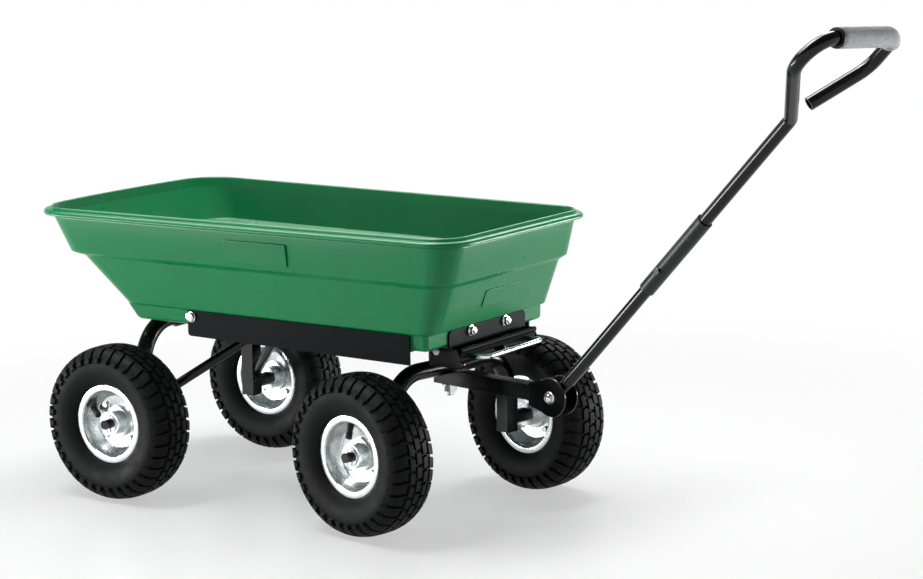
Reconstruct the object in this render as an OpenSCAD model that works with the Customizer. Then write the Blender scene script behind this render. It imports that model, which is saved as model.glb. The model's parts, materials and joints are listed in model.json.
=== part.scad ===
// Tipping garden cart: a moulded tub on a tubular steel frame with four
// pneumatic wheels, a steered front axle, a folding pull handle and a tub
// that tips backwards about the rear arch once its front latch is released.
// +X is forward, +Y is left, +Z is up; the origin lies on the ground under
// the middle of the cart as it stands.

/* [Wheels] */
// Outer diameter of each tyre
wheel_d = 260; // [244:1:264]
// Width of each tyre across its sidewalls
tyre_w = 84; // [74:1:92]
// Number of tread lugs round each tyre
lug_count = 26; // [16:1:36]
// Diameter over the rim flanges
rim_d = 132; // [124:1:140]
// Width over the rim flanges
rim_w = 56; // [52:1:62]
// Sheet thickness of the rim halves
rim_t = 2; // [1.5:0.1:2.5]
// Diameter of each hub
hub_d = 40; // [34:1:44]
// Reach of each hub outboard of the wheel's middle plane
hub_out = 24; // [20:1:28]
// Reach of each hub inboard of the wheel's middle plane
hub_in = 26; // [22:1:30]
// Diameter of the stub axles
axle_d = 16; // [12:1:20]

/* [Frame] */
// Distance between the front and rear axles
wheelbase = 526; // [500:1:540]
// Distance between the middle planes of the rear wheels
rear_track = 426; // [416:1:450]
// Distance between the middle planes of the front wheels
front_track = 402; // [390:1:430]
// Height of the rear arch above the axles
rear_rise = 153; // [150:1:165]
// Height of the front arch above the axles
front_rise = 112; // [104:1:114]
// Diameter of the arch tubes
arch_d = 28; // [25:1:30]
// Wall of the arch tubes
arch_t = 2.5; // [1.5:0.1:4]
// Bend radius of the rear arch
rear_bend_r = 70; // [50:1:76]
// Bend radius of the front arch
front_bend_r = 60; // [45:1:66]
// Width of the square posts
post_w = 25; // [22:1:28]
// Wall of the square posts
post_t = 2.5; // [2:0.1:4]
// Gap between a tyre and its post
post_gap = 13; // [8:1:16]
// Reach of the posts below the axles
post_below = 21; // [14:1:26]
// Diameter of the diagonal braces
brace_d = 16; // [12:1:20]
// Distance from the rear axle to the braces' upper ends
brace_x = 178; // [150:1:210]
// Width of the centre spine
spine_w = 30; // [26:1:36]
// Wall of the centre spine
spine_t = 2.5; // [2:0.1:4]
// Diameter of the kingpin
kingpin_d = 12; // [10:1:14]
// Diameter of the turntable plates
table_d = 70; // [60:1:76]
// Steering angle at rest, towards the right
steer = 10.5; // [0:0.5:30]

/* [Drawbar and handle] */
// Width of the square drawbar
bar_w = 25; // [22:1:28]
// Height of the drawbar's middle above the axles
bar_rise = 94; // [88:1:95]
// Distance from the kingpin to the clevis bolt
clevis_x = 232; // [215:1:260]
// Radius of the clevis plates' round ends
clevis_r = 31; // [26:1:34]
// Thickness of the clevis plates
clevis_t = 3; // [2:0.5:5]
// Diameter of the clevis bolt
clevis_bolt_d = 12; // [10:1:14]
// Diameter of the handle tube
handle_d = 20; // [18:1:22]
// Wall of the handle tube
handle_t = 2; // [1.5:0.1:3]
// Distance from the clevis bolt to the bend under the loop
shaft_len = 646; // [600:1:700]
// Angle of the handle above the ground at rest
handle_rise = 45.9; // [20:0.1:70]
// Distance from the clevis bolt to the joining sleeve
sleeve_x = 265; // [220:1:300]
// Length of the joining sleeve
sleeve_len = 159; // [120:1:190]
// Wall of the joining sleeve
sleeve_t = 2.4; // [1.5:0.1:4]
// Length of the loop's straight return side
loop_return = 63; // [55:1:80]
// Length of the loop's open end
loop_tail = 103; // [85:1:110]
// Length of the loop's rising side between corners
loop_rise = 239; // [220:1:250]
// Length of the loop's gripped side between corners
loop_bar = 249; // [235:1:260]
// Diameter of the foam grip
grip_d = 30; // [27:1:36]

/* [Tub] */
// Distance from the front axle forward to the tub's front face
tub_ahead = 71; // [60:1:90]
// Distance from the rear axle forward to the floor's rear edge
tub_rear = 9; // [0:1:14]
// Width of the tub's floor
floor_w = 338; // [320:1:342]
// Flare of the rim bead beyond each side of the floor, at the rear
rear_flare = 57; // [46:1:64]
// Flare of the rim bead beyond each side of the floor, at the front
front_flare = 33; // [28:1:42]
// Overhang of the rim bead behind the floor
rear_over = 161; // [150:1:175]
// Overhang of the rim bead ahead of the floor
front_over = 67; // [55:1:75]
// Depth from the rim's top to the floor's underside
tub_depth = 186; // [170:1:210]
// Wall of the tub
tub_t = 4; // [3:0.1:5]
// Height of the side rails at their rear ends
rail_h_rear = 42; // [36:1:46]
// Height of the side rails at their front ends
rail_h_front = 47; // [36:1:50]
// Distance from the rear axle to the rails' rear ends
rail_x0 = 124; // [100:1:150]
// Distance from the front axle forward to the rails' front ends
rail_ahead = 42; // [20:1:54]
// Thickness of the rails
rail_t = 3; // [2:0.5:3.5]

/* [Latch] */
// Width of the latch plate
plate_w = 222; // [200:1:240]
// Thickness of the latch plate
plate_t = 3; // [2:0.5:4]
// Width of the latch lever
lever_w = 218; // [204:1:220]
// Angle at which the lever stands clear of the lip at rest
lever_open = 10; // [9.5:0.5:14]
// Height of the hook above the lever's pin
hook_h = 20; // [19:0.1:24]
// Diameter of the lever's pin
pin_d = 6; // [5:0.5:7]
// Diameter of the bail's rod
bail_d = 8; // [6:0.5:10]
// Reach of the bail ahead of the lever
bail_reach = 29; // [22:1:40]
// Width over the bail's rod middles
bail_w = 164; // [140:1:180]

/* [Hidden] */
$fn = 64;

// Overrun of cuts, running clearance, press clearance
over = 1;
fit = 0.3;
press = 0.1;

// Wheel: tyre section, rim well, bolts, valve
wheel_r = wheel_d / 2;
axle_z = wheel_r;
flange_h = 9;
seat_r = rim_d / 2 - flange_h;
rim_half = rim_w / 2;
well_drop = 11;
well_r = seat_r - well_drop;
well_z_share = 0.54;
well_z = rim_half * well_z_share;
bead_y = rim_half - rim_t - fit;
bead_toe_share = 0.7;
tyre_outer_shares = [
    [0, 1], [0.3, 0.997], [0.56, 0.975], [0.76, 0.93], [0.9, 0.85], [0.975, 0.73],
    [1, 0.61], [0.985, 0.48], [0.94, 0.36], [0.86, 0.26], [0.77, 0.185], [0.71, 0.15]
];
tyre_cavity_shares = [
    [0.52, 0.09], [0.66, 0.2], [0.79, 0.38], [0.82, 0.58], [0.76, 0.74], [0.58, 0.83], [0.3, 0.855], [0, 0.86]
];
groove_share = 0.27;
groove_w = 4;
groove_depth = 4;
notch_w = 8;
notch_depth = 6;
notch_share = 0.5;
notch_lean = 14;
slot_w = 3.5;
slot_lean = 28;
collar_w = 6;
collar_h = 4;
rim_bolt_count = 4;
rim_bolt_d = 6;
rim_bolt_r = (hub_d / 2 + collar_w + well_r) / 2;
rim_head_d = 11;
rim_head_h = 4;
valve_d = 11;
valve_len = 26;
valve_base_d = 16;
valve_base_h = 3;
valve_slope = atan2(well_z - rim_t, seat_r - well_r - 2 * rim_t);
valve_turns = [40, 158, 220, 106];

// Axles: spacer, washer, split pin
post_in = tyre_w / 2 + post_gap + post_w;
post_out = tyre_w / 2 + post_gap;
spacer_d = 24;
washer_d = 30;
washer_t = 2;
split_d = 3.2;
split_len = 30;
split_step = 5;
axle_tail = 13;

// Arches and posts
hinge_z = axle_z + rear_rise;
front_arch_z = axle_z + front_rise;
leg_len = 8;
rear_post_y = rear_track / 2 - post_out - post_w / 2;
front_post_y = front_track / 2 - post_out - post_w / 2;
brace_t = 1.6;
brace_low = 22;
brace_top_drop = 14;
brace_run = 12;

// Turntable, spine and kingpin
hinge_gap = 1;
table_t = 4;
table_gap = 0.4;
table_sink = 1.5;
table_lower_z = front_arch_z + arch_d / 2 - table_sink;
table_upper_z = table_lower_z + table_t + table_gap;
spine_z0 = table_upper_z + table_t;
spine_z1 = hinge_z + arch_d / 2 - hinge_gap - fit;
spine_h = spine_z1 - spine_z0;
kingpin_head_d = 20;
kingpin_head_h = 8;
kingpin_tail = 7;
nut_d = 22;
nut_h = 10;
king_washer_d = 28;
king_washer_t = 2;

// Drawbar and clevis
bar_z = axle_z + bar_rise;
bar_t = 2.5;
bar_tail = 26;
clevis_drop = 1;
clevis_z = bar_z - clevis_drop;
clevis_back = 46;
clevis_back_h = 36;
clevis_web = 3;
bar_end = clevis_x - clevis_back + clevis_web;
clevis_head_d = 17;
clevis_head_h = 7;
clevis_tail = 4;

// Handle: eye, loop path and grip, in the shaft's own plane
eye_d = 28;
eye_gap = 0.4;
sleeve_bolt_d = 6;
sleeve_bolt_x = 45;
sleeve_head_d = 11;
sleeve_head_h = 4;
tube_joint = 78;
along = [1, 0];
back = [-1, 0];
across = [0, 1];
rise_way = [0.752192, -0.658944];
bar_way = [-0.07584, 0.99712];
tail_way = [-0.658944, -0.752192];
grip_end_way = [-0.8432, 0.5376];
apex_r = 16;
near_r = 40;
far_r = 27;
return_r = 45;
grip_lead = 2;
grip_tail = 0.2;
near_corner = [shaft_len, 0] + loop_rise * rise_way;
far_corner = near_corner + loop_bar * bar_way;
grip_from = near_corner + (trim(near_r, rise_way, bar_way) + grip_lead) * bar_way;

// Tub: levels as shares of depth, rear overhang, front overhang and side flare
floor_z = hinge_z + arch_d / 2 + hinge_gap;
floor_half = floor_w / 2;
tub_front = wheelbase + tub_ahead;
rail_x1 = wheelbase + rail_ahead;
tub_level_shares = [
    [0.022, 0.012, 0, 0.012],
    [0.136, 0.118, 0, 0.045],
    [0.152, 0.138, 0.19, 0.19],
    [0.555, 0.686, 0.606, 0.45],
    [0.596, 0.778, 0.754, 0.75],
    [0.914, 0.985, 0.978, 0.94]
];
low_level = 1;
step_level = 2;
mid_level = 3;
wall_level = 4;
floor_corner_r = 22;
rear_corner_r = 60;
front_corner_r = 50;
floor_bow = 3;
rim_bow = 13;
floor_inset = 4;
corner_steps = 6;
bow_steps = 5;
step_t = 3;
bead_w = 5;
bead_h = 6;
lip_out = 13;
lip_drop = 14;
lip_h = 8;
lip_round = 2;
lip_valley = 5;
lip_valley_drop = 6;
plaque_t = 1.6;
side_plaque_w = 122;
side_plaque_h = 37;
side_plaque_x = 294;
side_plaque_z_share = 0.74;
front_plaque_w = 100;
front_plaque_h = 30;
front_plaque_z_share = 0.37;

// Rails, straps and their bolts
rail_corner = 6;
rail_foot = 28;
low_half = half_rear(tub_level_shares[low_level][3]);
rail_y = low_half + fit;
rail_z1 = floor_z + tub_depth * tub_level_shares[low_level][0] - fit;
bolt_d = 8;
head_d = 17;
head_h = 6;
nut_across = 15;
nut_t = 7;
bolt_tail = 3;
rail_bolt_in = 8;
rail_bolt_drop = 10;
strap_w = 30;
strap_t = 3;
strap_share = 0.6;
strap_y = strap_share * (rear_post_y - rear_bend_r);
strap_gap = 0.4;
strap_ear = 30;
strap_ear_bolt = 18;
carriage_d = 19;
carriage_h = 4;
floor_skin = 1.2;
strap_head_h = tub_t - floor_skin;

// Latch: plate, hook, lever, channel, bail, spring
plate_x = tub_front + fit;
plate_z1 = floor_z + tub_depth * tub_level_shares[low_level][0] - 2 * fit;
plate_corner = 9;
plate_z0 = floor_z - plate_t + fit;
tongue_drop = 11;
lip_z = plate_z0 - tongue_drop;
lip_reach = 14.7;
lip_w = 196;
lip_x = plate_x + plate_t + lip_reach;
plate_bolt_y = 50;
plate_bolt_z = rail_z1 - 9;
hook_r = 4;
hook_over = 3;
hook_x = lip_x + hook_r - hook_over;
hook_z = lip_z + plate_t + hook_r + 2 * fit;
lever_t = 2.4;
lever_gap = 0.6;
pin_lead = 6.5;
pin_x = hook_x + pin_lead;
pin_z = hook_z - hook_h;
knuckle_d = 10;
lever_front = lip_x + lever_gap + lever_t;
lever_foot = 5;
channel_t = 3;
channel_depth = 60;
ear_r = 7;
channel_x0 = pin_x - channel_depth;
side_gap = 2;
channel_half = lever_w / 2 + side_gap + channel_t;
channel_z0 = pin_z - ear_r;
channel_z1 = plate_z0 - 2 * fit;
channel_floor_len = 46;
channel_top_share = 0.34;
channel_bolt_x = 17;
channel_bolt_z = 25;
channel_head_d = 13;
channel_head_h = 5;
channel_bolt_d = 6;
pin_head_d = 11;
pin_head_h = 3;
bail_z = knuckle_d / 2 + bail_d / 2 + fit;
bail_bend = 13;
spring_wire = 1.6;
spring_turns = 7.25;
spring_pitch = 2.5;
spring_r = pin_d / 2 + spring_wire / 2 + fit;
spring_sides = 6;
spring_steps = 8;
spring_leg = 9;
spring_room = 5;
spring_half = spring_turns * spring_pitch / 2;

// Middle of the cart's length, so that the origin lies under its middle
tub_rear_end = rear_over - tub_rear + rim_bow + lip_out;
handle_end = wheelbase + (clevis_x + far_corner[0] * cos(handle_rise)) * cos(steer) + far_corner[1] * sin(steer) + grip_d / 2;
x_mid = (handle_end - tub_rear_end) / 2;

steel_black = [0.07, 0.07, 0.075];
rail_black = [0.15, 0.155, 0.16];
zinc = [0.8, 0.82, 0.83];
chrome = [0.88, 0.89, 0.9];
rubber = [0.1, 0.1, 0.105];
tub_green = [0.2, 0.52, 0.36];
foam_grey = [0.62, 0.64, 0.65];

// Frames of the moving groups
module place() translate([-x_mid, 0, 0]) children();
module steered() place() translate([wheelbase, 0, 0]) rotate([0, 0, -steer]) children();
module handled() steered() translate([clevis_x, 0, clevis_z]) rotate([0, -handle_rise, 0]) children();
module out_from(side, track) translate([0, side * track / 2, axle_z]) rotate([-90 * side, 0, 0]) children();
module rear_wheel(side) place() out_from(side, rear_track) children();
module front_wheel(side) steered() out_from(side, front_track) children();
module sided(side) mirror([0, side < 0 ? 1 : 0, 0]) children();

function unit(v) = v / norm(v);

// Turn between two headings, and the length that a bend of radius r takes from
// each straight beside its corner
function bearing(way) = atan2(way[1], way[0]);
function turn(a, b) = atan2(a[0] * b[1] - a[1] * b[0], a[0] * b[0] + a[1] * b[1]);
function trim(r, a, b) = r * tan(abs(turn(a, b)) / 2);

module ring(d, t) difference() {
    circle(d = d);
    if (t > 0) circle(d = d - 2 * t);
}

// Tube of diameter d and wall t from a bending table: each row is a straight's
// length and heading, then the radius of the bend after it; a bend is half a
// ring, cut square where the next straight starts
module bent_tube(rows, d, t, i = 0) rotate([0, 0, bearing(rows[i][1])]) {
    run = rows[i][0];
    rotate([0, 90, 0]) linear_extrude(run) ring(d, t);
    if (i < len(rows) - 1) {
        a = bearing(rows[i][1]);
        b = bearing(rows[i + 1][1]);
        r = rows[i][2];
        left = turn(rows[i][1], rows[i + 1][1]) > 0 ? 1 : -1;
        translate([run, left * r, 0]) {
            difference() {
                sided(left) rotate([0, 0, -90]) rotate_extrude(angle = 180) translate([r, 0]) ring(d, t);
                rotate([0, 0, -a]) rotate([0, 0, b]) translate([0, -r - d, -d]) cube([r + d, 2 * (r + d), 2 * d]);
            }
            rotate([0, 0, -a]) rotate([0, 0, b]) translate([0, -left * r, 0]) rotate([0, 0, -b]) bent_tube(rows, d, t, i + 1);
        }
    }
}

// Hexagon prism across its corners
module hex(d, h) cylinder(d = d, h = h, $fn = 6);

// Wheels
function tyre_pt(s, side) = [seat_r + s[1] * (wheel_r - seat_r), side * s[0] * tyre_w / 2];
function tyre_bead(side) = [
    [rim_d / 2 + 2 * fit, side * bead_y],
    [seat_r + fit, side * bead_y],
    [seat_r + fit, side * bead_y * bead_toe_share]
];
function rev(v) = [for (i = [len(v) - 1 : -1 : 0]) v[i]];
function tyre_half(side) = concat(
    [for (s = tyre_outer_shares) tyre_pt(s, side)],
    tyre_bead(side),
    [for (s = tyre_cavity_shares) tyre_pt(s, side)]
);
function tail(v) = [for (i = [1 : len(v) - 2]) v[i]];

module tyre() color(rubber) difference() {
    rotate_extrude() polygon(concat(tyre_half(1), rev(tail(tyre_half(-1)))));
    for (side = [1, -1]) {
        rotate_extrude()
            translate([wheel_r - groove_depth, side * groove_share * tyre_w / 2 - groove_w / 2])
                square([groove_depth + over, groove_w]);
        for (i = [0 : lug_count - 1])
            rotate([0, 0, (i + side / 4) * 360 / lug_count])
                translate([wheel_r - notch_depth, 0, side * notch_share * tyre_w / 2])
                    rotate([side * notch_lean, 0, 0])
                        translate([0, -notch_w / 2, side > 0 ? 0 : -tyre_w / 2])
                            cube([notch_depth + over, notch_w, tyre_w / 2]);
    }
    for (i = [0 : lug_count - 1])
        rotate([0, 0, i * 360 / lug_count])
            translate([wheel_r - groove_depth, 0, 0])
                rotate([slot_lean, 0, 0])
                    translate([0, -slot_w / 2, -groove_share * tyre_w / 2])
                        cube([groove_depth + over, slot_w, groove_share * tyre_w]);
}

module rim_half_sheet() rotate_extrude() polygon([
    [hub_d / 2 + press, 0], [well_r, 0], [well_r + rim_t, rim_t], [seat_r - rim_t, well_z],
    [seat_r, well_z + rim_t], [seat_r, rim_half - rim_t], [rim_d / 2, rim_half - rim_t],
    [rim_d / 2, rim_half], [seat_r, rim_half], [seat_r - rim_t, rim_half - rim_t],
    [seat_r - rim_t, well_z + 2 * rim_t], [seat_r - 2 * rim_t, well_z], [well_r, 2 * rim_t],
    [well_r - rim_t, rim_t], [hub_d / 2 + press, rim_t]
]);

module rim_bolt_ring() for (i = [0 : rim_bolt_count - 1])
    rotate([0, 0, (i + 1 / 2) * 360 / rim_bolt_count]) translate([rim_bolt_r, 0, 0]) children();

module valve_axis(turned) rotate([0, 0, turned])
    translate([(well_r + seat_r) / 2, 0, (well_z + rim_t) / 2]) rotate([0, -valve_slope, 0]) children();

module rim_outer(turned) color(zinc) difference() {
    rim_half_sheet();
    rim_bolt_ring() translate([0, 0, -over]) cylinder(d = rim_bolt_d + 2 * press, h = rim_t + 2 * over);
    valve_axis(turned) translate([0, 0, -valve_base_h]) cylinder(d = valve_d + 2 * press, h = valve_len);
}

module rim_inner() color(zinc) difference() {
    mirror([0, 0, 1]) rim_half_sheet();
    rim_bolt_ring() translate([0, 0, -rim_t - over]) cylinder(d = rim_bolt_d + 2 * press, h = rim_t + 2 * over);
}

module hub() color(zinc) difference() {
    union() {
        translate([0, 0, -hub_in]) cylinder(d = hub_d, h = hub_in + hub_out);
        translate([0, 0, rim_t]) cylinder(d = hub_d + 2 * collar_w, h = collar_h);
        translate([0, 0, -rim_t - collar_h]) cylinder(d = hub_d + 2 * collar_w, h = collar_h);
    }
    translate([0, 0, -hub_in - over]) cylinder(d = axle_d + 2 * fit, h = hub_in + hub_out + 2 * over);
}

module rim_bolts() color(zinc) rim_bolt_ring() {
    translate([0, 0, rim_t]) hex(rim_head_d, rim_head_h);
    translate([0, 0, -rim_t - rim_head_h]) cylinder(d = rim_bolt_d, h = 2 * rim_t + rim_head_h);
    translate([0, 0, -rim_t - rim_head_h]) hex(rim_head_d, rim_head_h);
}

module valve(turned) color(rubber) valve_axis(turned) {
    cylinder(d = valve_d, h = valve_len);
    translate([0, 0, -valve_base_h]) cylinder(d = valve_base_d, h = valve_base_h);
}

module tyre_rl() rear_wheel(1) tyre();
module rim_outer_rl() rear_wheel(1) rim_outer(valve_turns[0]);
module rim_inner_rl() rear_wheel(1) rim_inner();
module hub_rl() rear_wheel(1) hub();
module rim_bolts_rl() rear_wheel(1) rim_bolts();
module valve_rl() rear_wheel(1) valve(valve_turns[0]);
module tyre_rr() rear_wheel(-1) tyre();
module rim_outer_rr() rear_wheel(-1) rim_outer(valve_turns[1]);
module rim_inner_rr() rear_wheel(-1) rim_inner();
module hub_rr() rear_wheel(-1) hub();
module rim_bolts_rr() rear_wheel(-1) rim_bolts();
module valve_rr() rear_wheel(-1) valve(valve_turns[1]);
module tyre_fl() front_wheel(1) tyre();
module rim_outer_fl() front_wheel(1) rim_outer(valve_turns[2]);
module rim_inner_fl() front_wheel(1) rim_inner();
module hub_fl() front_wheel(1) hub();
module rim_bolts_fl() front_wheel(1) rim_bolts();
module valve_fl() front_wheel(1) valve(valve_turns[2]);
module tyre_fr() front_wheel(-1) tyre();
module rim_outer_fr() front_wheel(-1) rim_outer(valve_turns[3]);
module rim_inner_fr() front_wheel(-1) rim_inner();
module hub_fr() front_wheel(-1) hub();
module rim_bolts_fr() front_wheel(-1) rim_bolts();
module valve_fr() front_wheel(-1) valve(valve_turns[3]);

// Stub axle with its spacer, from the post's inner face to the split pin
split_z = hub_out + fit + washer_t + split_step;
module stub() color(steel_black) difference() {
    union() {
        translate([0, 0, -post_in]) cylinder(d = axle_d, h = post_in + hub_out + axle_tail);
        translate([0, 0, -post_out]) cylinder(d = spacer_d, h = post_out - hub_in - fit);
    }
    translate([0, 0, split_z]) rotate([90, 0, 0]) cylinder(d = split_d + 2 * press, h = axle_d + 2 * over, center = true);
}

module retainer() color(zinc) {
    difference() {
        translate([0, 0, hub_out + fit]) cylinder(d = washer_d, h = washer_t);
        translate([0, 0, hub_out]) cylinder(d = axle_d + 2 * press, h = washer_t + over);
    }
    translate([0, 0, split_z]) rotate([90, 0, 0]) cylinder(d = split_d, h = split_len, center = true);
}

// Upright square tube for one side, drilled for the stub axle
module post(y, z0, z1) color(steel_black) difference() {
    translate([0, y, z0]) linear_extrude(z1 - z0) difference() {
        square(post_w, center = true);
        square(post_w - 2 * post_t, center = true);
    }
    translate([0, y, axle_z]) rotate([90, 0, 0]) cylinder(d = axle_d + 2 * press, h = post_w + 2 * over, center = true);
}

module arch(half, z, r) color(steel_black) translate([0, half, z - r - leg_len]) rotate([90, 0, 90])
    bent_tube([[leg_len, across, r], [2 * (half - r), back, r], [leg_len, -across]], arch_d, arch_t);

module rear_arch() place() arch(rear_post_y, hinge_z, rear_bend_r);
module rear_posts() place() for (side = [1, -1])
    post(side * rear_post_y, axle_z - post_below, hinge_z - rear_bend_r - leg_len);
module rear_stubs() for (side = [1, -1]) rear_wheel(side) stub();
module rear_retainers() for (side = [1, -1]) rear_wheel(side) retainer();

// Braces from the posts' front faces up to the spine's sides
brace_from = [post_w / 2, rear_post_y, axle_z + brace_low];
brace_to = [brace_x, spine_w / 2, spine_z1 - brace_top_drop];
brace_way = brace_to - brace_from;
module rear_braces() color(steel_black) place() for (side = [1, -1]) sided(side) difference() {
    translate(brace_from - unit(brace_way) * brace_run)
        rotate([0, acos(brace_way[2] / norm(brace_way)), atan2(brace_way[1], brace_way[0])])
            linear_extrude(norm(brace_way) + 2 * brace_run) ring(brace_d, brace_t);
    translate([-post_w, brace_from[1] - post_w * 2, axle_z - post_below]) cube([post_w * 3 / 2, post_w * 4, rear_rise]);
    translate([0, -spine_w, axle_z]) cube([brace_x * 2, spine_w * 3 / 2, rear_rise * 2]);
}

module spine() color(steel_black) place() difference() {
    translate([0, 0, spine_z0]) rotate([90, 0, 90]) linear_extrude(channel_x0) translate([0, spine_h / 2]) difference() {
        square([spine_w, spine_h], center = true);
        square([spine_w - 2 * spine_t, spine_h - 2 * spine_t], center = true);
    }
    translate([0, 0, hinge_z]) rotate([90, 0, 0]) cylinder(d = arch_d + 2 * press, h = spine_w + 2 * over, center = true);
    translate([wheelbase, 0, spine_z0 - over]) cylinder(d = kingpin_d + 2 * press, h = spine_t + 2 * over);
}

module table_upper() color(steel_black) place() translate([wheelbase, 0, table_upper_z]) difference() {
    cylinder(d = table_d, h = table_t);
    translate([0, 0, -over]) cylinder(d = kingpin_d + 2 * press, h = table_t + 2 * over);
}

king_nut_z = bar_z - bar_w / 2 - fit - king_washer_t - nut_h;
module kingpin() color(zinc) place() translate([wheelbase, 0, 0]) {
    translate([0, 0, spine_z0 + spine_t]) hex(kingpin_head_d, kingpin_head_h);
    translate([0, 0, king_nut_z - kingpin_tail]) cylinder(d = kingpin_d, h = spine_z0 + spine_t - king_nut_z + kingpin_tail);
}
module kingpin_nut() color(zinc) place() translate([wheelbase, 0, king_nut_z]) difference() {
    union() {
        hex(nut_d, nut_h);
        translate([0, 0, nut_h]) cylinder(d = king_washer_d, h = king_washer_t);
    }
    translate([0, 0, -over]) cylinder(d = kingpin_d + 2 * press, h = nut_h + king_washer_t + 2 * over);
}

// Front axle
module front_arch() steered() difference() {
    arch(front_post_y, front_arch_z, front_bend_r);
    translate([0, 0, front_arch_z - arch_d]) cylinder(d = kingpin_d + 2 * fit, h = 2 * arch_d);
}
module front_posts() steered() for (side = [1, -1])
    post(side * front_post_y, axle_z - post_below, front_arch_z - front_bend_r - leg_len);
module front_stubs() for (side = [1, -1]) front_wheel(side) stub();
module front_retainers() for (side = [1, -1]) front_wheel(side) retainer();
module across_arch() translate([0, 0, front_arch_z]) rotate([90, 0, 0]) cylinder(d = arch_d + 2 * press, h = table_d + 2 * over, center = true);

module table_lower() color(steel_black) steered() difference() {
    translate([0, 0, table_lower_z]) cylinder(d = table_d, h = table_t);
    across_arch();
    translate([0, 0, table_lower_z - over]) cylinder(d = kingpin_d + 2 * fit, h = table_t + 2 * over);
}

module drawbar() color(steel_black) steered() difference() {
    translate([-bar_tail, 0, bar_z]) rotate([90, 0, 90]) linear_extrude(bar_tail + bar_end - clevis_web) difference() {
        square(bar_w, center = true);
        square(bar_w - 2 * bar_t, center = true);
    }
    across_arch();
    translate([0, 0, bar_z - bar_w]) cylinder(d = kingpin_d + 2 * fit, h = 2 * bar_w);
}

module clevis_plate() difference() {
    union() {
        circle(r = clevis_r);
        polygon([[-clevis_back, -clevis_back_h / 2], [0, -clevis_r], [0, clevis_r], [-clevis_back, clevis_back_h / 2]]);
    }
    circle(d = clevis_bolt_d + 2 * press);
}
module clevis() color(steel_black) steered() translate([clevis_x, 0, clevis_z]) {
    for (side = [1, -1]) translate([0, side * (bar_w + clevis_t) / 2, 0]) rotate([90, 0, 0])
        linear_extrude(clevis_t, center = true) clevis_plate();
    translate([-clevis_back, -bar_w / 2, -bar_w / 2]) cube([clevis_web, bar_w, bar_w]);
}
module clevis_bolt() color(zinc) steered() translate([clevis_x, 0, clevis_z]) rotate([90, 0, 0]) {
    grip_half = bar_w / 2 + clevis_t;
    cylinder(d = clevis_bolt_d, h = 2 * grip_half, center = true);
    translate([0, 0, grip_half]) hex(clevis_head_d, clevis_head_h);
    translate([0, 0, -grip_half - clevis_head_h]) hex(clevis_head_d, clevis_head_h);
    translate([0, 0, -grip_half - clevis_head_h - clevis_tail]) cylinder(d = clevis_bolt_d, h = clevis_tail);
}

// Handle, with X along the shaft and Y to the left
module sleeve_bolt_hole() translate([sleeve_x + sleeve_bolt_x, 0, 0]) rotate([90, 0, 0])
    cylinder(d = sleeve_bolt_d + 2 * press, h = 2 * handle_d, center = true);
module handle_lower() color(steel_black) handled() difference() {
    union() {
        rotate([90, 0, 0]) cylinder(d = eye_d, h = bar_w - 2 * eye_gap, center = true);
        rotate([0, 90, 0]) linear_extrude(sleeve_x + tube_joint) ring(handle_d, handle_t);
    }
    rotate([90, 0, 0]) cylinder(d = clevis_bolt_d + 2 * fit, h = bar_w + 2 * over, center = true);
    sleeve_bolt_hole();
}
module handle_sleeve() color(steel_black) handled() difference() {
    translate([sleeve_x, 0, 0]) rotate([0, 90, 0]) linear_extrude(sleeve_len) ring(handle_d + 2 * press + 2 * sleeve_t, sleeve_t);
    sleeve_bolt_hole();
}
module sleeve_bolt() color(zinc) handled() translate([sleeve_x + sleeve_bolt_x, 0, 0]) rotate([90, 0, 0]) {
    reach = handle_d / 2 + press + sleeve_t;
    cylinder(d = sleeve_bolt_d, h = 2 * reach, center = true);
    translate([0, 0, reach]) hex(sleeve_head_d, sleeve_head_h);
    translate([0, 0, -reach - sleeve_head_h]) hex(sleeve_head_d, sleeve_head_h);
}
loop_start = sleeve_x + tube_joint;
bar_run = loop_bar - trim(near_r, rise_way, bar_way) - trim(far_r, bar_way, back);
module handle_loop() color(steel_black) handled() translate([loop_start, 0, 0]) bent_tube([
    [shaft_len - loop_start - trim(apex_r, along, rise_way), along, apex_r],
    [loop_rise - trim(apex_r, along, rise_way) - trim(near_r, rise_way, bar_way), rise_way, near_r],
    [bar_run, bar_way, far_r],
    [loop_return - trim(far_r, bar_way, back) - trim(return_r, back, tail_way), back, return_r],
    [loop_tail - trim(return_r, back, tail_way), tail_way]
], handle_d, handle_t);
module grip() color(foam_grey) handled() translate([grip_from[0], grip_from[1], 0])
    bent_tube([[bar_run - grip_lead, bar_way, far_r], [grip_tail, grip_end_way]], grip_d, (grip_d - handle_d) / 2 - press);

// Tub: rounded outlines with a bowed rear edge, lofted level by level
function mix(a, b, s) = a + (b - a) * s;
function arc(cx, cy, r, a0) = [for (i = [0 : corner_steps]) let (a = a0 + 90 * i / corner_steps) [cx + r * cos(a), cy + r * sin(a)]];
function bowed(p, hr, bow) = [p[0] - bow * max(0, 1 - pow(p[1] / hr, 2)), p[1]];
function outline(xr, xf, hr, hf, rr, rf, bow) = concat(
    arc(xf - rf, -hf + rf, rf, -90),
    arc(xf - rf, hf - rf, rf, 0),
    [for (p = concat(
        arc(xr + rr, hr - rr, rr, 90),
        [for (i = [1 : bow_steps - 1]) [xr, (hr - rr) * (1 - 2 * i / bow_steps)]],
        arc(xr + rr, -hr + rr, rr, 180)
    )) bowed(p, hr, bow)]
);
function half_rear(s) = floor_half + rear_flare * s;
function half_front(s) = floor_half + front_flare * s;
function ring_at(s, inset, z) = [for (p = outline(
    tub_rear - rear_over * s[1] + inset, tub_front + front_over * s[2] - inset,
    half_rear(s[3]) - inset, half_front(s[3]) - inset,
    mix(floor_corner_r, rear_corner_r, s[0]) - inset, mix(floor_corner_r, front_corner_r, s[0]) - inset,
    mix(floor_bow, rim_bow, s[0]))) [p[0], p[1], z]];
function level_z(s) = floor_z + tub_depth * s[0];
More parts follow.
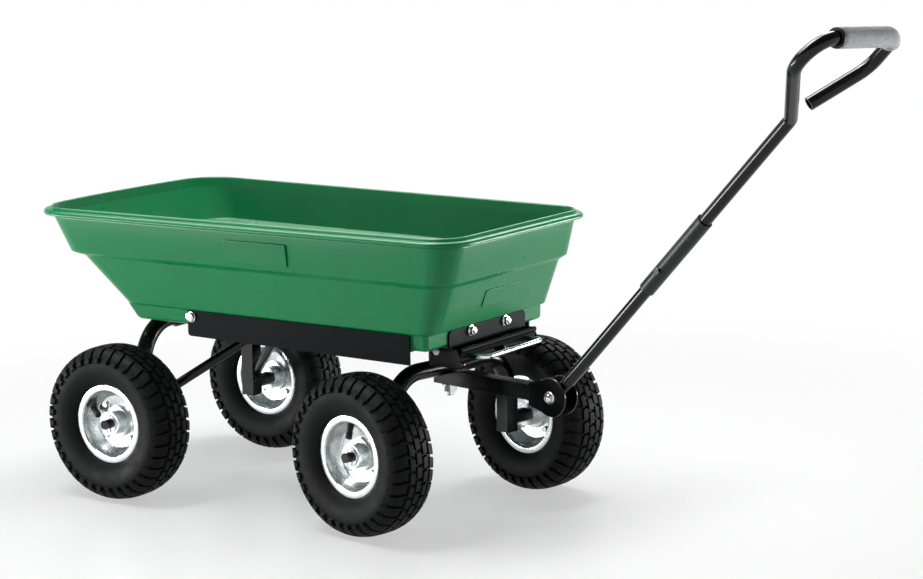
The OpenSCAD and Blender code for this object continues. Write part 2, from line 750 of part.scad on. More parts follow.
rim_z = floor_z + tub_depth;
rim_share = [1, 1, 1, 1];
floor_share = [0, 0, 0, 0];
tub_rings = concat(
    [ring_at(floor_share, floor_inset, floor_z)],
    [for (s = tub_level_shares) ring_at(s, 0, level_z(s))],
    [
        ring_at(rim_share, bead_w, rim_z - lip_drop + lip_round),
        ring_at(rim_share, -lip_out + 2 * lip_round, rim_z - lip_drop),
        ring_at(rim_share, -lip_out, rim_z - lip_drop + lip_round),
        ring_at(rim_share, -lip_out, rim_z - lip_drop + lip_h),
        ring_at(rim_share, -lip_out + lip_round, rim_z - lip_drop + lip_h + lip_round),
        ring_at(rim_share, -lip_valley, rim_z - lip_valley_drop),
        ring_at(rim_share, 0, rim_z - lip_round),
        ring_at(rim_share, lip_round, rim_z),
        ring_at(rim_share, bead_w, rim_z - lip_round / 2),
        ring_at(rim_share, bead_w + tub_t, rim_z - bead_h)
    ],
    [for (i = [len(tub_level_shares) - 1 : -1 : 0]) let (s = tub_level_shares[i])
        ring_at(s, tub_t, level_z(s) + (i > low_level - 1 && i < len(tub_level_shares) - 1 ? step_t : 0))],
    [ring_at(floor_share, floor_inset + tub_t, floor_z + tub_t)]
);
ring_n = len(tub_rings[0]);
tub_points = [for (r = tub_rings) each r];
tub_faces = concat(
    [[for (j = [0 : ring_n - 1]) j]],
    [for (k = [0 : len(tub_rings) - 2]) for (j = [0 : ring_n - 1])
        let (a = k * ring_n + j, b = (k + 1) * ring_n + j, c = (k + 1) * ring_n + (j + 1) % ring_n) [a, b, c]],
    [for (k = [0 : len(tub_rings) - 2]) for (j = [0 : ring_n - 1])
        let (a = k * ring_n + j, c = (k + 1) * ring_n + (j + 1) % ring_n, d = k * ring_n + (j + 1) % ring_n) [a, c, d]],
    [[for (j = [ring_n - 1 : -1 : 0]) (len(tub_rings) - 1) * ring_n + j]]
);

// Wall place and lean between two levels, for the raised plaques
function side_at(z_share, x) = let (
    lo = tub_level_shares[wall_level], hi = tub_level_shares[wall_level + 1],
    s = mix(lo[3], hi[3], (z_share - lo[0]) / (hi[0] - lo[0])),
    t = (x - tub_rear) / (tub_front - tub_rear)) mix(half_rear(s), half_front(s), t);
side_lean = let (lo = tub_level_shares[wall_level], hi = tub_level_shares[wall_level + 1])
    atan2((half_rear(hi[3]) + half_front(hi[3]) - half_rear(lo[3]) - half_front(lo[3])) / 2, tub_depth * (hi[0] - lo[0]));
side_taper = atan2(half_rear(tub_level_shares[wall_level][3]) - half_front(tub_level_shares[wall_level][3]), tub_front - tub_rear + (rear_over + front_over) * tub_level_shares[wall_level][1]);
front_lean = let (lo = tub_level_shares[step_level], hi = tub_level_shares[mid_level])
    atan2(front_over * (hi[2] - lo[2]), tub_depth * (hi[0] - lo[0]));
front_face_x = let (lo = tub_level_shares[step_level], hi = tub_level_shares[mid_level])
    tub_front + front_over * mix(lo[2], hi[2], (front_plaque_z_share - lo[0]) / (hi[0] - lo[0]));

module plaque(w, h) cube([w, 2 * plaque_t, h], center = true);
module tub() color(tub_green) place() difference() {
    union() {
        polyhedron(points = tub_points, faces = tub_faces, convexity = 6);
        for (side = [1, -1]) sided(side)
            translate([side_plaque_x, side_at(side_plaque_z_share, side_plaque_x), floor_z + tub_depth * side_plaque_z_share])
                rotate([-side_lean, 0, -side_taper]) plaque(side_plaque_w, side_plaque_h);
        translate([front_face_x, 0, floor_z + tub_depth * front_plaque_z_share])
            rotate([0, front_lean, 0]) rotate([0, 0, 90]) plaque(front_plaque_w, front_plaque_h);
    }
    rail_bolt_places() cylinder(d = bolt_d + 2 * press, h = rail_foot, center = true);
    plate_bolt_places() translate([0, 0, -rail_foot]) cylinder(d = bolt_d + 2 * press, h = rail_foot + over);
    strap_bolt_places() {
        translate([0, 0, -over]) cylinder(d = bolt_d + 2 * press, h = tub_t + 2 * over);
        translate([0, 0, floor_skin]) cylinder(d = carriage_d + 2 * fit, h = tub_t);
    }
}

// Rails: angle bars along the tub's lower sides
module rail_profile() difference() {
    polygon([[rail_x0, rail_z1 - rail_h_rear], [rail_x1, rail_z1 - rail_h_front], [rail_x1, rail_z1], [rail_x0, rail_z1]]);
    translate([rail_x0, rail_z1 - rail_h_rear]) difference() {
        square(2 * rail_corner, center = true);
        translate([rail_corner, rail_corner]) circle(r = rail_corner);
    }
}
module rail() color(rail_black) place() difference() {
    union() {
        translate([0, rail_y + rail_t, 0]) rotate([90, 0, 0]) linear_extrude(rail_t) rail_profile();
        translate([rail_x0 + rail_corner, rail_y - rail_foot, floor_z - fit - rail_t])
            cube([rail_x1 - rail_x0 - 2 * rail_corner, rail_foot + rail_t / 2, rail_t]);
    }
    translate([rail_x0 + rail_bolt_in, rail_y, rail_z1 - rail_bolt_drop]) rotate([90, 0, 0])
        cylinder(d = bolt_d + 2 * press, h = rail_foot, center = true);
}
module rail_left() rail();
module rail_right() sided(-1) rail();
module rail_bolt_places() for (side = [1, -1])
    translate([rail_x0 + rail_bolt_in, side * (rail_y + rail_t), rail_z1 - rail_bolt_drop]) rotate([-90 * side, 0, 0]) children();
module hex_bolt(thick) {
    hex(head_d, head_h);
    translate([0, 0, -thick - nut_t - bolt_tail]) cylinder(d = bolt_d, h = thick + nut_t + bolt_tail);
    translate([0, 0, -thick - nut_t]) hex(nut_across, nut_t);
}
module rail_bolts() color(zinc) place() rail_bolt_places() hex_bolt(rail_t + tub_t + 2 * fit + step_t);

// Latch plate with its forward lip
module latch_plate() color(rail_black) place() difference() {
    union() {
        translate([plate_x, 0, 0]) rotate([90, 0, 90]) linear_extrude(plate_t) difference() {
            translate([-plate_w / 2, plate_z0]) square([plate_w, plate_z1 - plate_z0]);
            for (side = [1, -1]) translate([side * plate_w / 2, plate_z1]) difference() {
                square(2 * plate_corner, center = true);
                translate([-side * plate_corner, -plate_corner]) circle(r = plate_corner);
            }
        }
        translate([plate_x, -lip_w / 2, lip_z]) cube([plate_t, lip_w, plate_z1 - plate_corner - lip_z]);
        translate([plate_x + plate_t + fit, -lip_w / 2, lip_z]) cube([lip_x - plate_x - plate_t - fit, lip_w, plate_t]);
    }
    plate_bolt_places() translate([0, 0, -rail_foot]) cylinder(d = bolt_d + 2 * press, h = rail_foot + over);
}
module plate_bolt_places() for (side = [1, -1])
    translate([plate_x + plate_t, side * plate_bolt_y, plate_bolt_z]) rotate([0, 90, 0]) children();
module plate_bolts() color(zinc) place() plate_bolt_places() {
    hex(nut_across, nut_t);
    translate([0, 0, -plate_t - fit - tub_t]) cylinder(d = bolt_d, h = plate_t + fit + tub_t + nut_t + bolt_tail);
    translate([0, 0, -plate_t - fit - tub_t - carriage_h]) cylinder(d = carriage_d, h = carriage_h);
}

// Hinge straps: saddles under the rear arch, bolted up into the floor
strap_in = arch_d / 2 + strap_gap;
strap_out = strap_in + strap_t;
strap_top = floor_z - hinge_z;
module strap_profile() difference() {
    union() {
        circle(r = strap_out);
        translate([-strap_out, 0]) square([2 * strap_out, strap_top]);
        translate([0, strap_top - strap_t]) square([strap_out + strap_ear, strap_t]);
    }
    circle(r = strap_in);
    translate([-strap_in, 0]) square([2 * strap_in, strap_out]);
    translate([-strap_out - over, strap_top - hinge_gap]) square([strap_out, strap_out]);
}
module hinge_straps() color(steel_black) place() difference() {
    for (side = [1, -1]) translate([0, side * strap_y + strap_w / 2, hinge_z]) rotate([90, 0, 0]) linear_extrude(strap_w) strap_profile();
    strap_bolt_places() translate([0, 0, -strap_t - over]) cylinder(d = bolt_d + 2 * press, h = strap_t + over);
}
module strap_bolt_places() for (side = [1, -1])
    translate([strap_out + strap_ear_bolt, side * strap_y, floor_z]) children();
module strap_bolts() color(zinc) place() strap_bolt_places() {
    translate([0, 0, floor_skin]) cylinder(d = carriage_d, h = strap_head_h - fit);
    translate([0, 0, -strap_t - nut_t - bolt_tail]) cylinder(d = bolt_d, h = strap_t + nut_t + bolt_tail + floor_skin);
    translate([0, 0, -strap_t - nut_t]) hex(nut_across, nut_t);
}

// Cross channel that carries the latch
module flange_profile() difference() {
    union() {
        polygon([
            [channel_x0, channel_z0], [pin_x, channel_z0], [pin_x, channel_z0 + 2 * ear_r],
            [pin_x - ear_r, channel_z1], [channel_x0 + channel_depth * channel_top_share, channel_z1],
            [channel_x0, channel_z0 + 2 * ear_r]
        ]);
        translate([pin_x, pin_z]) circle(r = ear_r);
    }
    translate([pin_x, pin_z]) circle(d = pin_d + 2 * press);
    translate([channel_x0 + channel_bolt_x, channel_z0 + channel_bolt_z]) circle(d = channel_bolt_d + 2 * press);
}
module cross_channel() color(steel_black) place() {
    for (side = [1, -1]) translate([0, side * (channel_half - channel_t / 2), 0]) rotate([90, 0, 0])
        linear_extrude(channel_t, center = true) flange_profile();
    translate([channel_x0, -channel_half, channel_z0]) cube([channel_floor_len, 2 * channel_half, channel_t]);
    translate([channel_x0, -channel_half, channel_z0]) cube([channel_t, 2 * channel_half, 2 * ear_r]);
}
module channel_bolts() color(zinc) place() for (side = [1, -1])
    translate([channel_x0 + channel_bolt_x, side * channel_half, channel_z0 + channel_bolt_z]) rotate([-90 * side, 0, 0]) {
        hex(channel_head_d, channel_head_h);
        translate([0, 0, -channel_t]) cylinder(d = channel_bolt_d, h = channel_t);
        translate([0, 0, -channel_t - channel_head_h]) hex(channel_head_d, channel_head_h);
    }
module latch_pin() color(steel_black) place() translate([pin_x, 0, pin_z]) rotate([90, 0, 0]) {
    cylinder(d = pin_d, h = 2 * channel_half, center = true);
    for (side = [1, -1]) translate([0, 0, side * (channel_half + pin_head_h / 2)]) cylinder(d = pin_head_d, h = pin_head_h, center = true);
}

// Lever: knuckle on the pin, web and rolled hook over the plate's lip
module lever_profile() difference() {
    union() {
        circle(d = knuckle_d);
        polygon([
            [lever_front - pin_x - lever_t, lever_foot], [lever_front - pin_x, lever_foot],
            [lever_front - pin_x, hook_h - hook_r - fit], [lever_front - pin_x - lever_t, hook_h - hook_r - fit]
        ]);
        polygon([
            [lever_front - pin_x - lever_t, 0], [0, 0], [lever_front - pin_x + lever_t, lever_foot],
            [lever_front - pin_x, 2 * lever_foot], [lever_front - pin_x - lever_t, 2 * lever_foot]
        ]);
    }
    circle(d = pin_d + 2 * fit);
}
module latched() place() translate([pin_x, 0, pin_z]) rotate([0, lever_open, 0]) children();
module hook_profile() {
    translate([hook_x - pin_x, hook_h]) circle(r = hook_r);
    translate([hook_x - pin_x, hook_h - hook_r]) square([lever_front - hook_x, 2 * hook_r]);
}
module latch_lever() color(rail_black) latched() {
    difference() {
        translate([0, lever_w / 2, 0]) rotate([90, 0, 0]) linear_extrude(lever_w) lever_profile();
        translate([-knuckle_d, -spring_half - spring_room, -knuckle_d]) cube([2 * knuckle_d, 2 * spring_half + 2 * spring_room, knuckle_d + 2 * lever_foot]);
    }
    translate([0, lever_w / 2, 0]) rotate([90, 0, 0]) linear_extrude(lever_w) hook_profile();
}
module latch_bail() color(chrome) latched() difference() {
    translate([lever_front - pin_x, -bail_w / 2, bail_z]) rotate([0, -lever_open, 0]) bent_tube([
        [lever_t + bail_reach - bail_bend, along, bail_bend], [bail_w - 2 * bail_bend, across, bail_bend], [lever_t + bail_reach - bail_bend, back]
    ], bail_d, 0);
    translate([lever_front - pin_x + lever_t + fit - bail_d, -bail_w, -bail_d]) cube([bail_d, 2 * bail_w, 4 * bail_d]);
}

// Torsion spring round the pin, one unbroken wire with a straight leg at each end
function coil_at(t) = [spring_r * sin(360 * t), spring_pitch * (t - spring_turns / 2), -spring_r * cos(360 * t)];
spring_path = concat(
    [coil_at(0) + [-spring_leg, 0, 0]],
    [for (i = [0 : spring_turns * spring_steps]) coil_at(i / spring_steps)],
    [coil_at(spring_turns) + [0, 0, spring_leg]]
);
function path_dir(i) = unit(spring_path[min(i + 1, len(spring_path) - 1)] - spring_path[max(i - 1, 0)]);
spring_points = [for (i = [0 : len(spring_path) - 1]) let (
    d = path_dir(i), u = unit(cross(d, [0, 1, 0])), v = cross(d, u))
    for (j = [0 : spring_sides - 1]) let (a = 360 * j / spring_sides)
        spring_path[i] + (u * cos(a) + v * sin(a)) * spring_wire / 2];
spring_last = (len(spring_path) - 1) * spring_sides;
spring_faces = concat(
    [[for (j = [spring_sides - 1 : -1 : 0]) j]],
    [for (i = [0 : len(spring_path) - 2]) for (j = [0 : spring_sides - 1])
        let (a = i * spring_sides + j, b = i * spring_sides + (j + 1) % spring_sides) [a, b, b + spring_sides]],
    [for (i = [0 : len(spring_path) - 2]) for (j = [0 : spring_sides - 1])
        let (a = i * spring_sides + j, b = i * spring_sides + (j + 1) % spring_sides) [a, b + spring_sides, a + spring_sides]],
    [[for (j = [0 : spring_sides - 1]) spring_last + j]]
);
spring_self_gap = min([for (i = [0 : len(spring_path) - 1]) for (k = [i + spring_steps - 1 : 1 : len(spring_path) - 1])
    norm(spring_path[i] - spring_path[k]) - spring_wire]);
echo(least_gap_of_the_spring_to_itself = spring_self_gap);
module latch_spring() color(chrome) place() translate([pin_x, 0, pin_z]) polyhedron(points = spring_points, faces = spring_faces, convexity = 8);

echo(x_mid = x_mid, hinge = [-x_mid, 0, hinge_z], king = [wheelbase - x_mid, 0, front_arch_z], pin = [pin_x - x_mid, 0, pin_z],
    clevis = [wheelbase - x_mid + clevis_x * cos(steer), -clevis_x * sin(steer), clevis_z],
    front_left = [wheelbase - x_mid + front_track / 2 * sin(steer), front_track / 2 * cos(steer), axle_z],
    floor_top = floor_z + tub_t, rim_z = rim_z, spine = [spine_z0, spine_z1], hook = [hook_x, hook_z], lip = [lip_x, lip_z]);

tyre_rl();
rim_outer_rl();
rim_inner_rl();
hub_rl();
rim_bolts_rl();
valve_rl();
tyre_rr();
rim_outer_rr();
rim_inner_rr();
hub_rr();
rim_bolts_rr();
valve_rr();
tyre_fl();
rim_outer_fl();
rim_inner_fl();
hub_fl();
rim_bolts_fl();
valve_fl();
tyre_fr();
rim_outer_fr();
rim_inner_fr();
hub_fr();
rim_bolts_fr();
valve_fr();
rear_arch();
rear_posts();
rear_stubs();
rear_retainers();
rear_braces();
spine();
cross_channel();
channel_bolts();
table_upper();
kingpin();
kingpin_nut();
latch_pin();
latch_spring();
latch_lever();
latch_bail();
front_arch();
front_posts();
front_stubs();
front_retainers();
table_lower();
drawbar();
clevis();
clevis_bolt();
handle_lower();
handle_sleeve();
sleeve_bolt();
handle_loop();
grip();
tub();
rail_left();
rail_right();
rail_bolts();
latch_plate();
plate_bolts();
hinge_straps();
strap_bolts();
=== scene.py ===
"""Looks of the tipping garden cart: moulded tub, painted frame, wheels, handle, latch and studio."""

import json
import logging
import math
from dataclasses import dataclass
from enum import Enum
from typing import ClassVar

import bmesh
import bpy
from mathutils import Matrix, Vector


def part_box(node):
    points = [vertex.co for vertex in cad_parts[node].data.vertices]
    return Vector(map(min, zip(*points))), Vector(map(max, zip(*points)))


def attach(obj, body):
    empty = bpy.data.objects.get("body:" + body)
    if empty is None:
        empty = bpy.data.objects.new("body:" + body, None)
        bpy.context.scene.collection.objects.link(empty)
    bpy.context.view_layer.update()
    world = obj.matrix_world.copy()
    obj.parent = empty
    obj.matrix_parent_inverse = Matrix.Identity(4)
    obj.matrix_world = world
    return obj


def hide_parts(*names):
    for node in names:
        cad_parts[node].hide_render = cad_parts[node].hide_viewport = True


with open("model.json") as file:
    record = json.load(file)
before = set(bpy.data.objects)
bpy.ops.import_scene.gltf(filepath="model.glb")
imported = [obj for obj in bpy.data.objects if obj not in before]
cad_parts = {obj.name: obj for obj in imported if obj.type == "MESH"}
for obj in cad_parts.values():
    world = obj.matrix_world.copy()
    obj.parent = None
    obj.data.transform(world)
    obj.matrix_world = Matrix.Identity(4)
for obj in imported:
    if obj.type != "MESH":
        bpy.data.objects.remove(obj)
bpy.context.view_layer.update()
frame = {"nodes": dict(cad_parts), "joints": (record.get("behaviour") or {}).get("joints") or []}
log = logging.getLogger("garden_cart")
MM = 0.001
TAU = 2.0 * math.pi
JOINTS = {joint["name"]: joint for joint in frame["joints"]}
# The sizes below count X from the tub's hinge.
SHIFT = Vector((JOINTS["tub_tip"]["pos_m"][0], 0.0, 0.0))

Mesh = bmesh.types.BMesh
Vert = bmesh.types.BMVert
Edge = bmesh.types.BMEdge
Piece = bpy.types.Object
Socket = bpy.types.NodeSocket
Tree = bpy.types.NodeTree
Points = list[Vector]
Pair = tuple[float, float]
Triple = tuple[float, float, float]
Level = tuple[float, float, float, float]


class Side(Enum):
    """Side of the cart, as the sign of Y."""

    LEFT = 1
    RIGHT = -1


def linear(hex_colour: str) -> tuple[float, float, float, float]:
    """Turns an sRGB hex colour into linear red, green and blue with an alpha of one."""
    values = [int(hex_colour[i : i + 2], 16) / 255.0 for i in (1, 3, 5)]
    return tuple(v / 12.92 if v <= 0.04045 else ((v + 0.055) / 1.055) ** 2.4 for v in values) + (1.0,)


def add_node(tree: Tree, kind: str, inputs: dict | None = None, **settings: object) -> bpy.types.Node:
    """Adds one shader node with its settings, values and links.

    Args:
        tree: Node tree that takes the node.
        kind: Blender's name of the node type.
        inputs: Socket name or index to a value, or to the output socket that feeds it.
        **settings: Properties of the node itself.

    Returns:
        The new node.
    """
    node = tree.nodes.new(kind)
    for name, value in settings.items():
        setattr(node, name, value)
    for socket, value in (inputs or {}).items():
        if isinstance(value, Socket):
            tree.links.new(value, node.inputs[socket])
        else:
            node.inputs[socket].default_value = value
    return node


def per_metre(size_mm: float) -> float:
    """Scale of a noise whose features are about size_mm wide."""
    return 1.0 / (size_mm * MM)


@dataclass(frozen=True)
class Finish:
    """A surface as it was made, with the sizes of its patterns in millimetres.

    Attributes:
        name: Material name.
        colour: Main sRGB colour.
        tint: Second colour that the blotches lean to.
        blotch_mm: Width of the colour blotches.
        blotch: Share of the second colour where a blotch is fullest.
        roughness: Lowest and highest roughness.
        grain_mm: Width of the fine relief.
        grain_depth_mm: Height of the fine relief.
        metallic: One for bare metal.
        ior: Index of refraction, left alone on metal.
        specular: Level of the mirror-like reflection, left alone on metal.
    """

    name: str
    colour: str
    tint: str
    blotch_mm: float = 60.0
    blotch: float = 0.5
    roughness: tuple[float, float] = (0.4, 0.5)
    grain_mm: float = 2.0
    grain_depth_mm: float = 0.05
    metallic: float = 0.0
    ior: float = 1.5
    specular: float = 0.5
    made: ClassVar[dict[str, bpy.types.Material]] = {}

    def material(self) -> bpy.types.Material:
        """Returns the material, made on first use."""
        if self.name not in Finish.made:
            Finish.made[self.name] = self.build()
        return Finish.made[self.name]

    def build(self) -> bpy.types.Material:
        """Builds and returns the node material."""
        material = bpy.data.materials.new(self.name)
        material.use_nodes = True
        tree = material.node_tree
        tree.nodes.clear()
        place = add_node(tree, "ShaderNodeTexCoord").outputs["Object"]
        blotches = add_node(tree, "ShaderNodeTexNoise", {
            "Vector": place, "Scale": per_metre(self.blotch_mm), "Detail": 5.0, "Roughness": 0.6}).outputs["Fac"]
        share = add_node(tree, "ShaderNodeMapRange", {
            "Value": blotches, "From Min": 0.35, "From Max": 0.75, "To Max": self.blotch})
        colour = add_node(tree, "ShaderNodeMix", {
            "Factor": share.outputs["Result"], 6: linear(self.colour), 7: linear(self.tint)},
            data_type="RGBA").outputs[2]
        rough = add_node(tree, "ShaderNodeMapRange", {
            "Value": blotches, "From Min": 0.3, "From Max": 0.7,
            "To Min": self.roughness[0], "To Max": self.roughness[1]})
        grain = add_node(tree, "ShaderNodeTexNoise", {
            "Vector": place, "Scale": per_metre(self.grain_mm), "Detail": 2.0}).outputs["Fac"]
        bump = add_node(tree, "ShaderNodeBump", {
            "Height": grain, "Strength": 1.0, "Distance": self.grain_depth_mm * MM})
        values = {
            "Base Color": self.colour_over(tree, place, colour), "Roughness": rough.outputs["Result"],
            "Metallic": self.metallic, "Normal": bump.outputs["Normal"]}
        if self.metallic < 0.5:
            values["IOR"] = self.ior
            values["Specular IOR Level"] = self.specular
        shader = add_node(tree, "ShaderNodeBsdfPrincipled", values)
        add_node(tree, "ShaderNodeOutputMaterial", {"Surface": shader.outputs["BSDF"]})
        return material

    def colour_over(self, tree: Tree, place: Socket, colour: Socket) -> Socket:
        """Colour with what lies over it: nothing, unless a finish adds it."""
        return colour


@dataclass(frozen=True)
class Speckled(Finish):
    """A finish with light and dark specks, such as cut foam or dusty rubber.

    Attributes:
        speck: Colour of the specks.
        speck_mm: Width of one speck.
        speck_share: Share of the speck colour at its fullest.
        speck_from: Noise value at which specks start.
        speck_fade: Rise of the noise over which they reach their fullest.
    """

    speck: str = "#ffffff"
    speck_mm: float = 2.0
    speck_share: float = 0.5
    speck_from: float = 0.55
    speck_fade: float = 0.15

    def colour_over(self, tree: Tree, place: Socket, colour: Socket) -> Socket:
        """Lays the specks, placed by object coordinates, over the colour."""
        specks = add_node(tree, "ShaderNodeTexNoise", {
            "Vector": place, "Scale": per_metre(self.speck_mm), "Detail": 3.0, "Roughness": 0.7})
        share = add_node(tree, "ShaderNodeMapRange", {
            "Value": specks.outputs["Fac"], "From Min": self.speck_from, "From Max": self.speck_from + self.speck_fade,
            "To Max": self.speck_share})
        return add_node(tree, "ShaderNodeMix", {
            "Factor": share.outputs["Result"], 6: colour, 7: linear(self.speck)}, data_type="RGBA").outputs[2]


# Injection-moulded polyethylene: even green with a soft sheen and a fine mould grain.
# The grain is drawn coarser than the real quarter millimetre so that it shows.
TUB_POLY = Finish("moulded_polyethylene_green", "#107745", "#0d6c3e", 90.0, 0.6, (0.26, 0.34), 1.6, 0.012,
                  ior=1.51, specular=0.26)
# Wet-sprayed gloss enamel over steel tube: deep black, sharp highlights, slight orange peel.
GLOSS_ENAMEL = Finish("gloss_black_enamel", "#060607", "#0d0d0e", 40.0, 0.5, (0.14, 0.22), 4.0, 0.012,
                      ior=1.52, specular=0.28)
# Powder coat on sheet steel: dark grey-black with a broad sheen and a pebbled skin.
SATIN_POWDER = Finish("satin_powder_coat", "#0c0f10", "#121516", 30.0, 0.6, (0.38, 0.5), 1.4, 0.03,
                      ior=1.5, specular=0.035)
# Thin powder coat on drawn tube: a greyer black with a soft sheen along the tube.
SLEEVE_POWDER = Finish("sleeve_powder_coat", "#111415", "#191c1d", 30.0, 0.6, (0.34, 0.44), 1.4, 0.02,
                       ior=1.5, specular=0.34)
# Bright zinc plate on pressed sheet: pale, with soft reflections that the plating clouds.
RIM_ZINC = Finish("bright_zinc_sheet", "#d3d8d8", "#bfc6c6", 26.0, 0.6, (0.22, 0.32), 6.0, 0.008,
                  metallic=1.0)
# Zinc-plated fasteners: a little brighter and smoother than the rims.
BOLT_ZINC = Finish("zinc_plated_bolt", "#e6e8e8", "#cdd1d1", 7.0, 0.6, (0.16, 0.25), 2.0, 0.01,
                   metallic=1.0)
# Polished chrome plate: mirror-like, with only faint polishing marks.
CHROME = Finish("polished_chrome", "#f4f5f6", "#e8eaec", 20.0, 0.5, (0.05, 0.1), 1.5, 0.004,
                metallic=1.0)
# Moulded tyre rubber: matt black with a bloom of grey dust on the skin.
TYRE_RUBBER = Speckled("moulded_tyre_rubber", "#0a0b0b", "#111212", 25.0, 0.7, (0.5, 0.66), 2.4, 0.22,
                       ior=1.52, specular=0.1,
                       speck="#222424", speck_mm=2.4, speck_share=0.5)
# Plain black rubber of valve stems, also on the black ring that paints the shade at the grip's near end: matt, with a
# dull sheen on its curves.
PLAIN_RUBBER = Finish("plain_black_rubber", "#0a0a0a", "#121212", 8.0, 0.5, (0.45, 0.6), 1.0, 0.03,
                      ior=1.52, specular=0.3)
# Closed-cell foam sleeve: pale grey, matt, with open-cut cells as dark and pale specks.
GRIP_FOAM = Speckled("closed_cell_foam", "#a6aaab", "#939798", 14.0, 0.7, (0.82, 0.95), 2.2, 0.2,
                     ior=1.45, specular=0.3,
                     speck="#c4c8c9", speck_mm=2.6, speck_share=0.6, speck_from=0.5)


def ring_edges(ring: list[Vert]) -> list[Edge]:
    """Edges between the neighbours of a closed ring of vertices, in the ring's order."""
    edges = []
    for i, vert in enumerate(ring):
        after = ring[(i + 1) % len(ring)]
        edges.append(next(e for e in vert.link_edges if e.other_vert(vert) is after))
    return edges


def first_ring(bm: Mesh, points: Points) -> list[Vert]:
    """Starts a shape from a circle whose vertices are moved to the given points."""
    ring = bmesh.ops.create_circle(bm, segments=len(points), radius=1.0, cap_ends=False)["verts"]
    for vert, point in zip(ring, points):
        vert.co = point
    return ring


def next_ring(bm: Mesh, ring: list[Vert], points: Points) -> list[Vert]:
    """Extrudes a ring, moves the new vertices to the given points and returns them."""
    made = bmesh.ops.extrude_edge_only(bm, edges=ring_edges(ring))["geom"]
    fresh = {v for v in made if isinstance(v, Vert)}
    grown = [next(e.other_vert(v) for e in v.link_edges if e.other_vert(v) in fresh) for v in ring]
    for vert, point in zip(grown, points):
        vert.co = point
    return grown


def soften(bm: Mesh, edges: list[Edge], radius: float, segments: int = 3) -> None:
    """Rounds edges with a bevel of the given width in metres and faces across it."""
    bmesh.ops.bevel(bm, geom=edges, offset=radius, offset_type="OFFSET", segments=segments, profile=0.5,
                    affect="EDGES", clamp_overlap=True, material=-1)


def sharp_edges(bm: Mesh, degrees: float) -> list[Edge]:
    """Edges whose two faces turn by more than the given angle."""
    return [e for e in bm.edges if len(e.link_faces) == 2 and e.calc_face_angle(0.0) > math.radians(degrees)]


def revolve(profile: list[Pair], steps: int, corner: float = 0.0, closed: bool = True) -> Mesh:
    """Spins a profile about Z, with its corners rounded first.

    Args:
        profile: Radius and height of each corner, in metres.
        steps: Steps round the full turn.
        corner: Radius that each corner is rounded to.
        closed: Whether the last corner joins the first.

    Returns:
        The revolved mesh.
    """
    bm = bmesh.new()
    verts = [bm.verts.new((r, 0.0, z)) for r, z in profile]
    for a, b in zip(verts, verts[1:] + verts[:1] if closed else verts[1:]):
        bm.edges.new((a, b))
    if corner > 0.0:
        bmesh.ops.bevel(bm, geom=verts if closed else verts[1:-1], offset=corner, offset_type="OFFSET", segments=2,
                        profile=0.5, affect="VERTICES", clamp_overlap=True, material=-1)
    bmesh.ops.spin(bm, geom=bm.verts[:] + bm.edges[:], cent=(0, 0, 0), axis=(0, 0, 1), angle=TAU, steps=steps,
                   use_merge=True)
    bmesh.ops.remove_doubles(bm, verts=bm.verts[:], dist=1e-6)
    bmesh.ops.recalc_face_normals(bm, faces=bm.faces[:])
    return bm


def dome_nut(across: float, height: float) -> Mesh:
    """Hexagon with a domed cap, standing on Z = 0.

    Args:
        across: Width over the corners in metres.
        height: Height with the dome in metres.

    Returns:
        The new mesh.
    """
    bm = bmesh.new()
    hex_h, ease, r = height * 0.5, across * 0.04, across * 0.42
    bmesh.ops.create_cone(bm, cap_ends=True, segments=6, radius1=across / 2, radius2=across / 2, depth=hex_h)
    bmesh.ops.translate(bm, verts=bm.verts[:], vec=(0, 0, hex_h / 2))
    soften(bm, sharp_edges(bm, 50.0), ease, 2)
    arc = [math.radians(15.0 * i) for i in range(7)]
    dome = [(r * math.cos(a), hex_h + (height - hex_h) * math.sin(a)) for a in arc[:-1]] + [(0.0, height)]
    join(bm, revolve([(r, hex_h * 0.5)] + dome, 32, closed=False))
    return bm


def washer(bore_mm: float, width_mm: float, thick_mm: float = 1.6) -> Mesh:
    """Flat washer with eased edges, lying on Z = 0."""
    b, w, t = bore_mm / 2 * MM, width_mm / 2 * MM, thick_mm * MM
    return revolve([(b, 0.0), (w, 0.0), (w, t), (b, t)], 40, 0.3 * MM)


def join(target: Mesh, piece: Mesh, place: Matrix = Matrix.Identity(4)) -> None:
    """Adds a finished mesh to another and frees it.

    Args:
        target: Mesh that grows.
        piece: Mesh that is added.
        place: Where the piece goes.
    """
    bmesh.ops.transform(piece, matrix=place, verts=piece.verts[:])
    scratch = bpy.data.meshes.new("scratch")
    piece.to_mesh(scratch)
    piece.free()
    target.from_mesh(scratch)
    bpy.data.meshes.remove(scratch)


def finished(bm: Mesh, name: str, finish: Finish, body: str, replaced: tuple[str, ...],
             smooth: float = 38.0) -> Piece:
    """Makes the object of a piece, shades it, and lets it ride on its body.

    Args:
        bm: Finished mesh, in the cart's frame; it is freed.
        name: Piece name.
        finish: Finish of the whole piece.
        body: Body that carries the piece.
        replaced: Solids that the piece stands for.
        smooth: Largest angle in degrees that is shaded smoothly.

    Returns:
        The new object.
    """
    for face in bm.faces:
        face.smooth = True
    for edge in bm.edges:
        edge.smooth = len(edge.link_faces) != 2 or edge.calc_face_angle(0.0) <= math.radians(smooth)
    mesh = bpy.data.meshes.new(name)
    bm.to_mesh(mesh)
    bm.free()
    mesh.materials.append(finish.material())
    piece = bpy.data.objects.new(name, mesh)
    bpy.context.scene.collection.objects.link(piece)
    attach(piece, body)
    if replaced:
        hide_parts(*replaced)
    log.info("%s: %d faces on %s", name, len(mesh.polygons), body)
    return piece


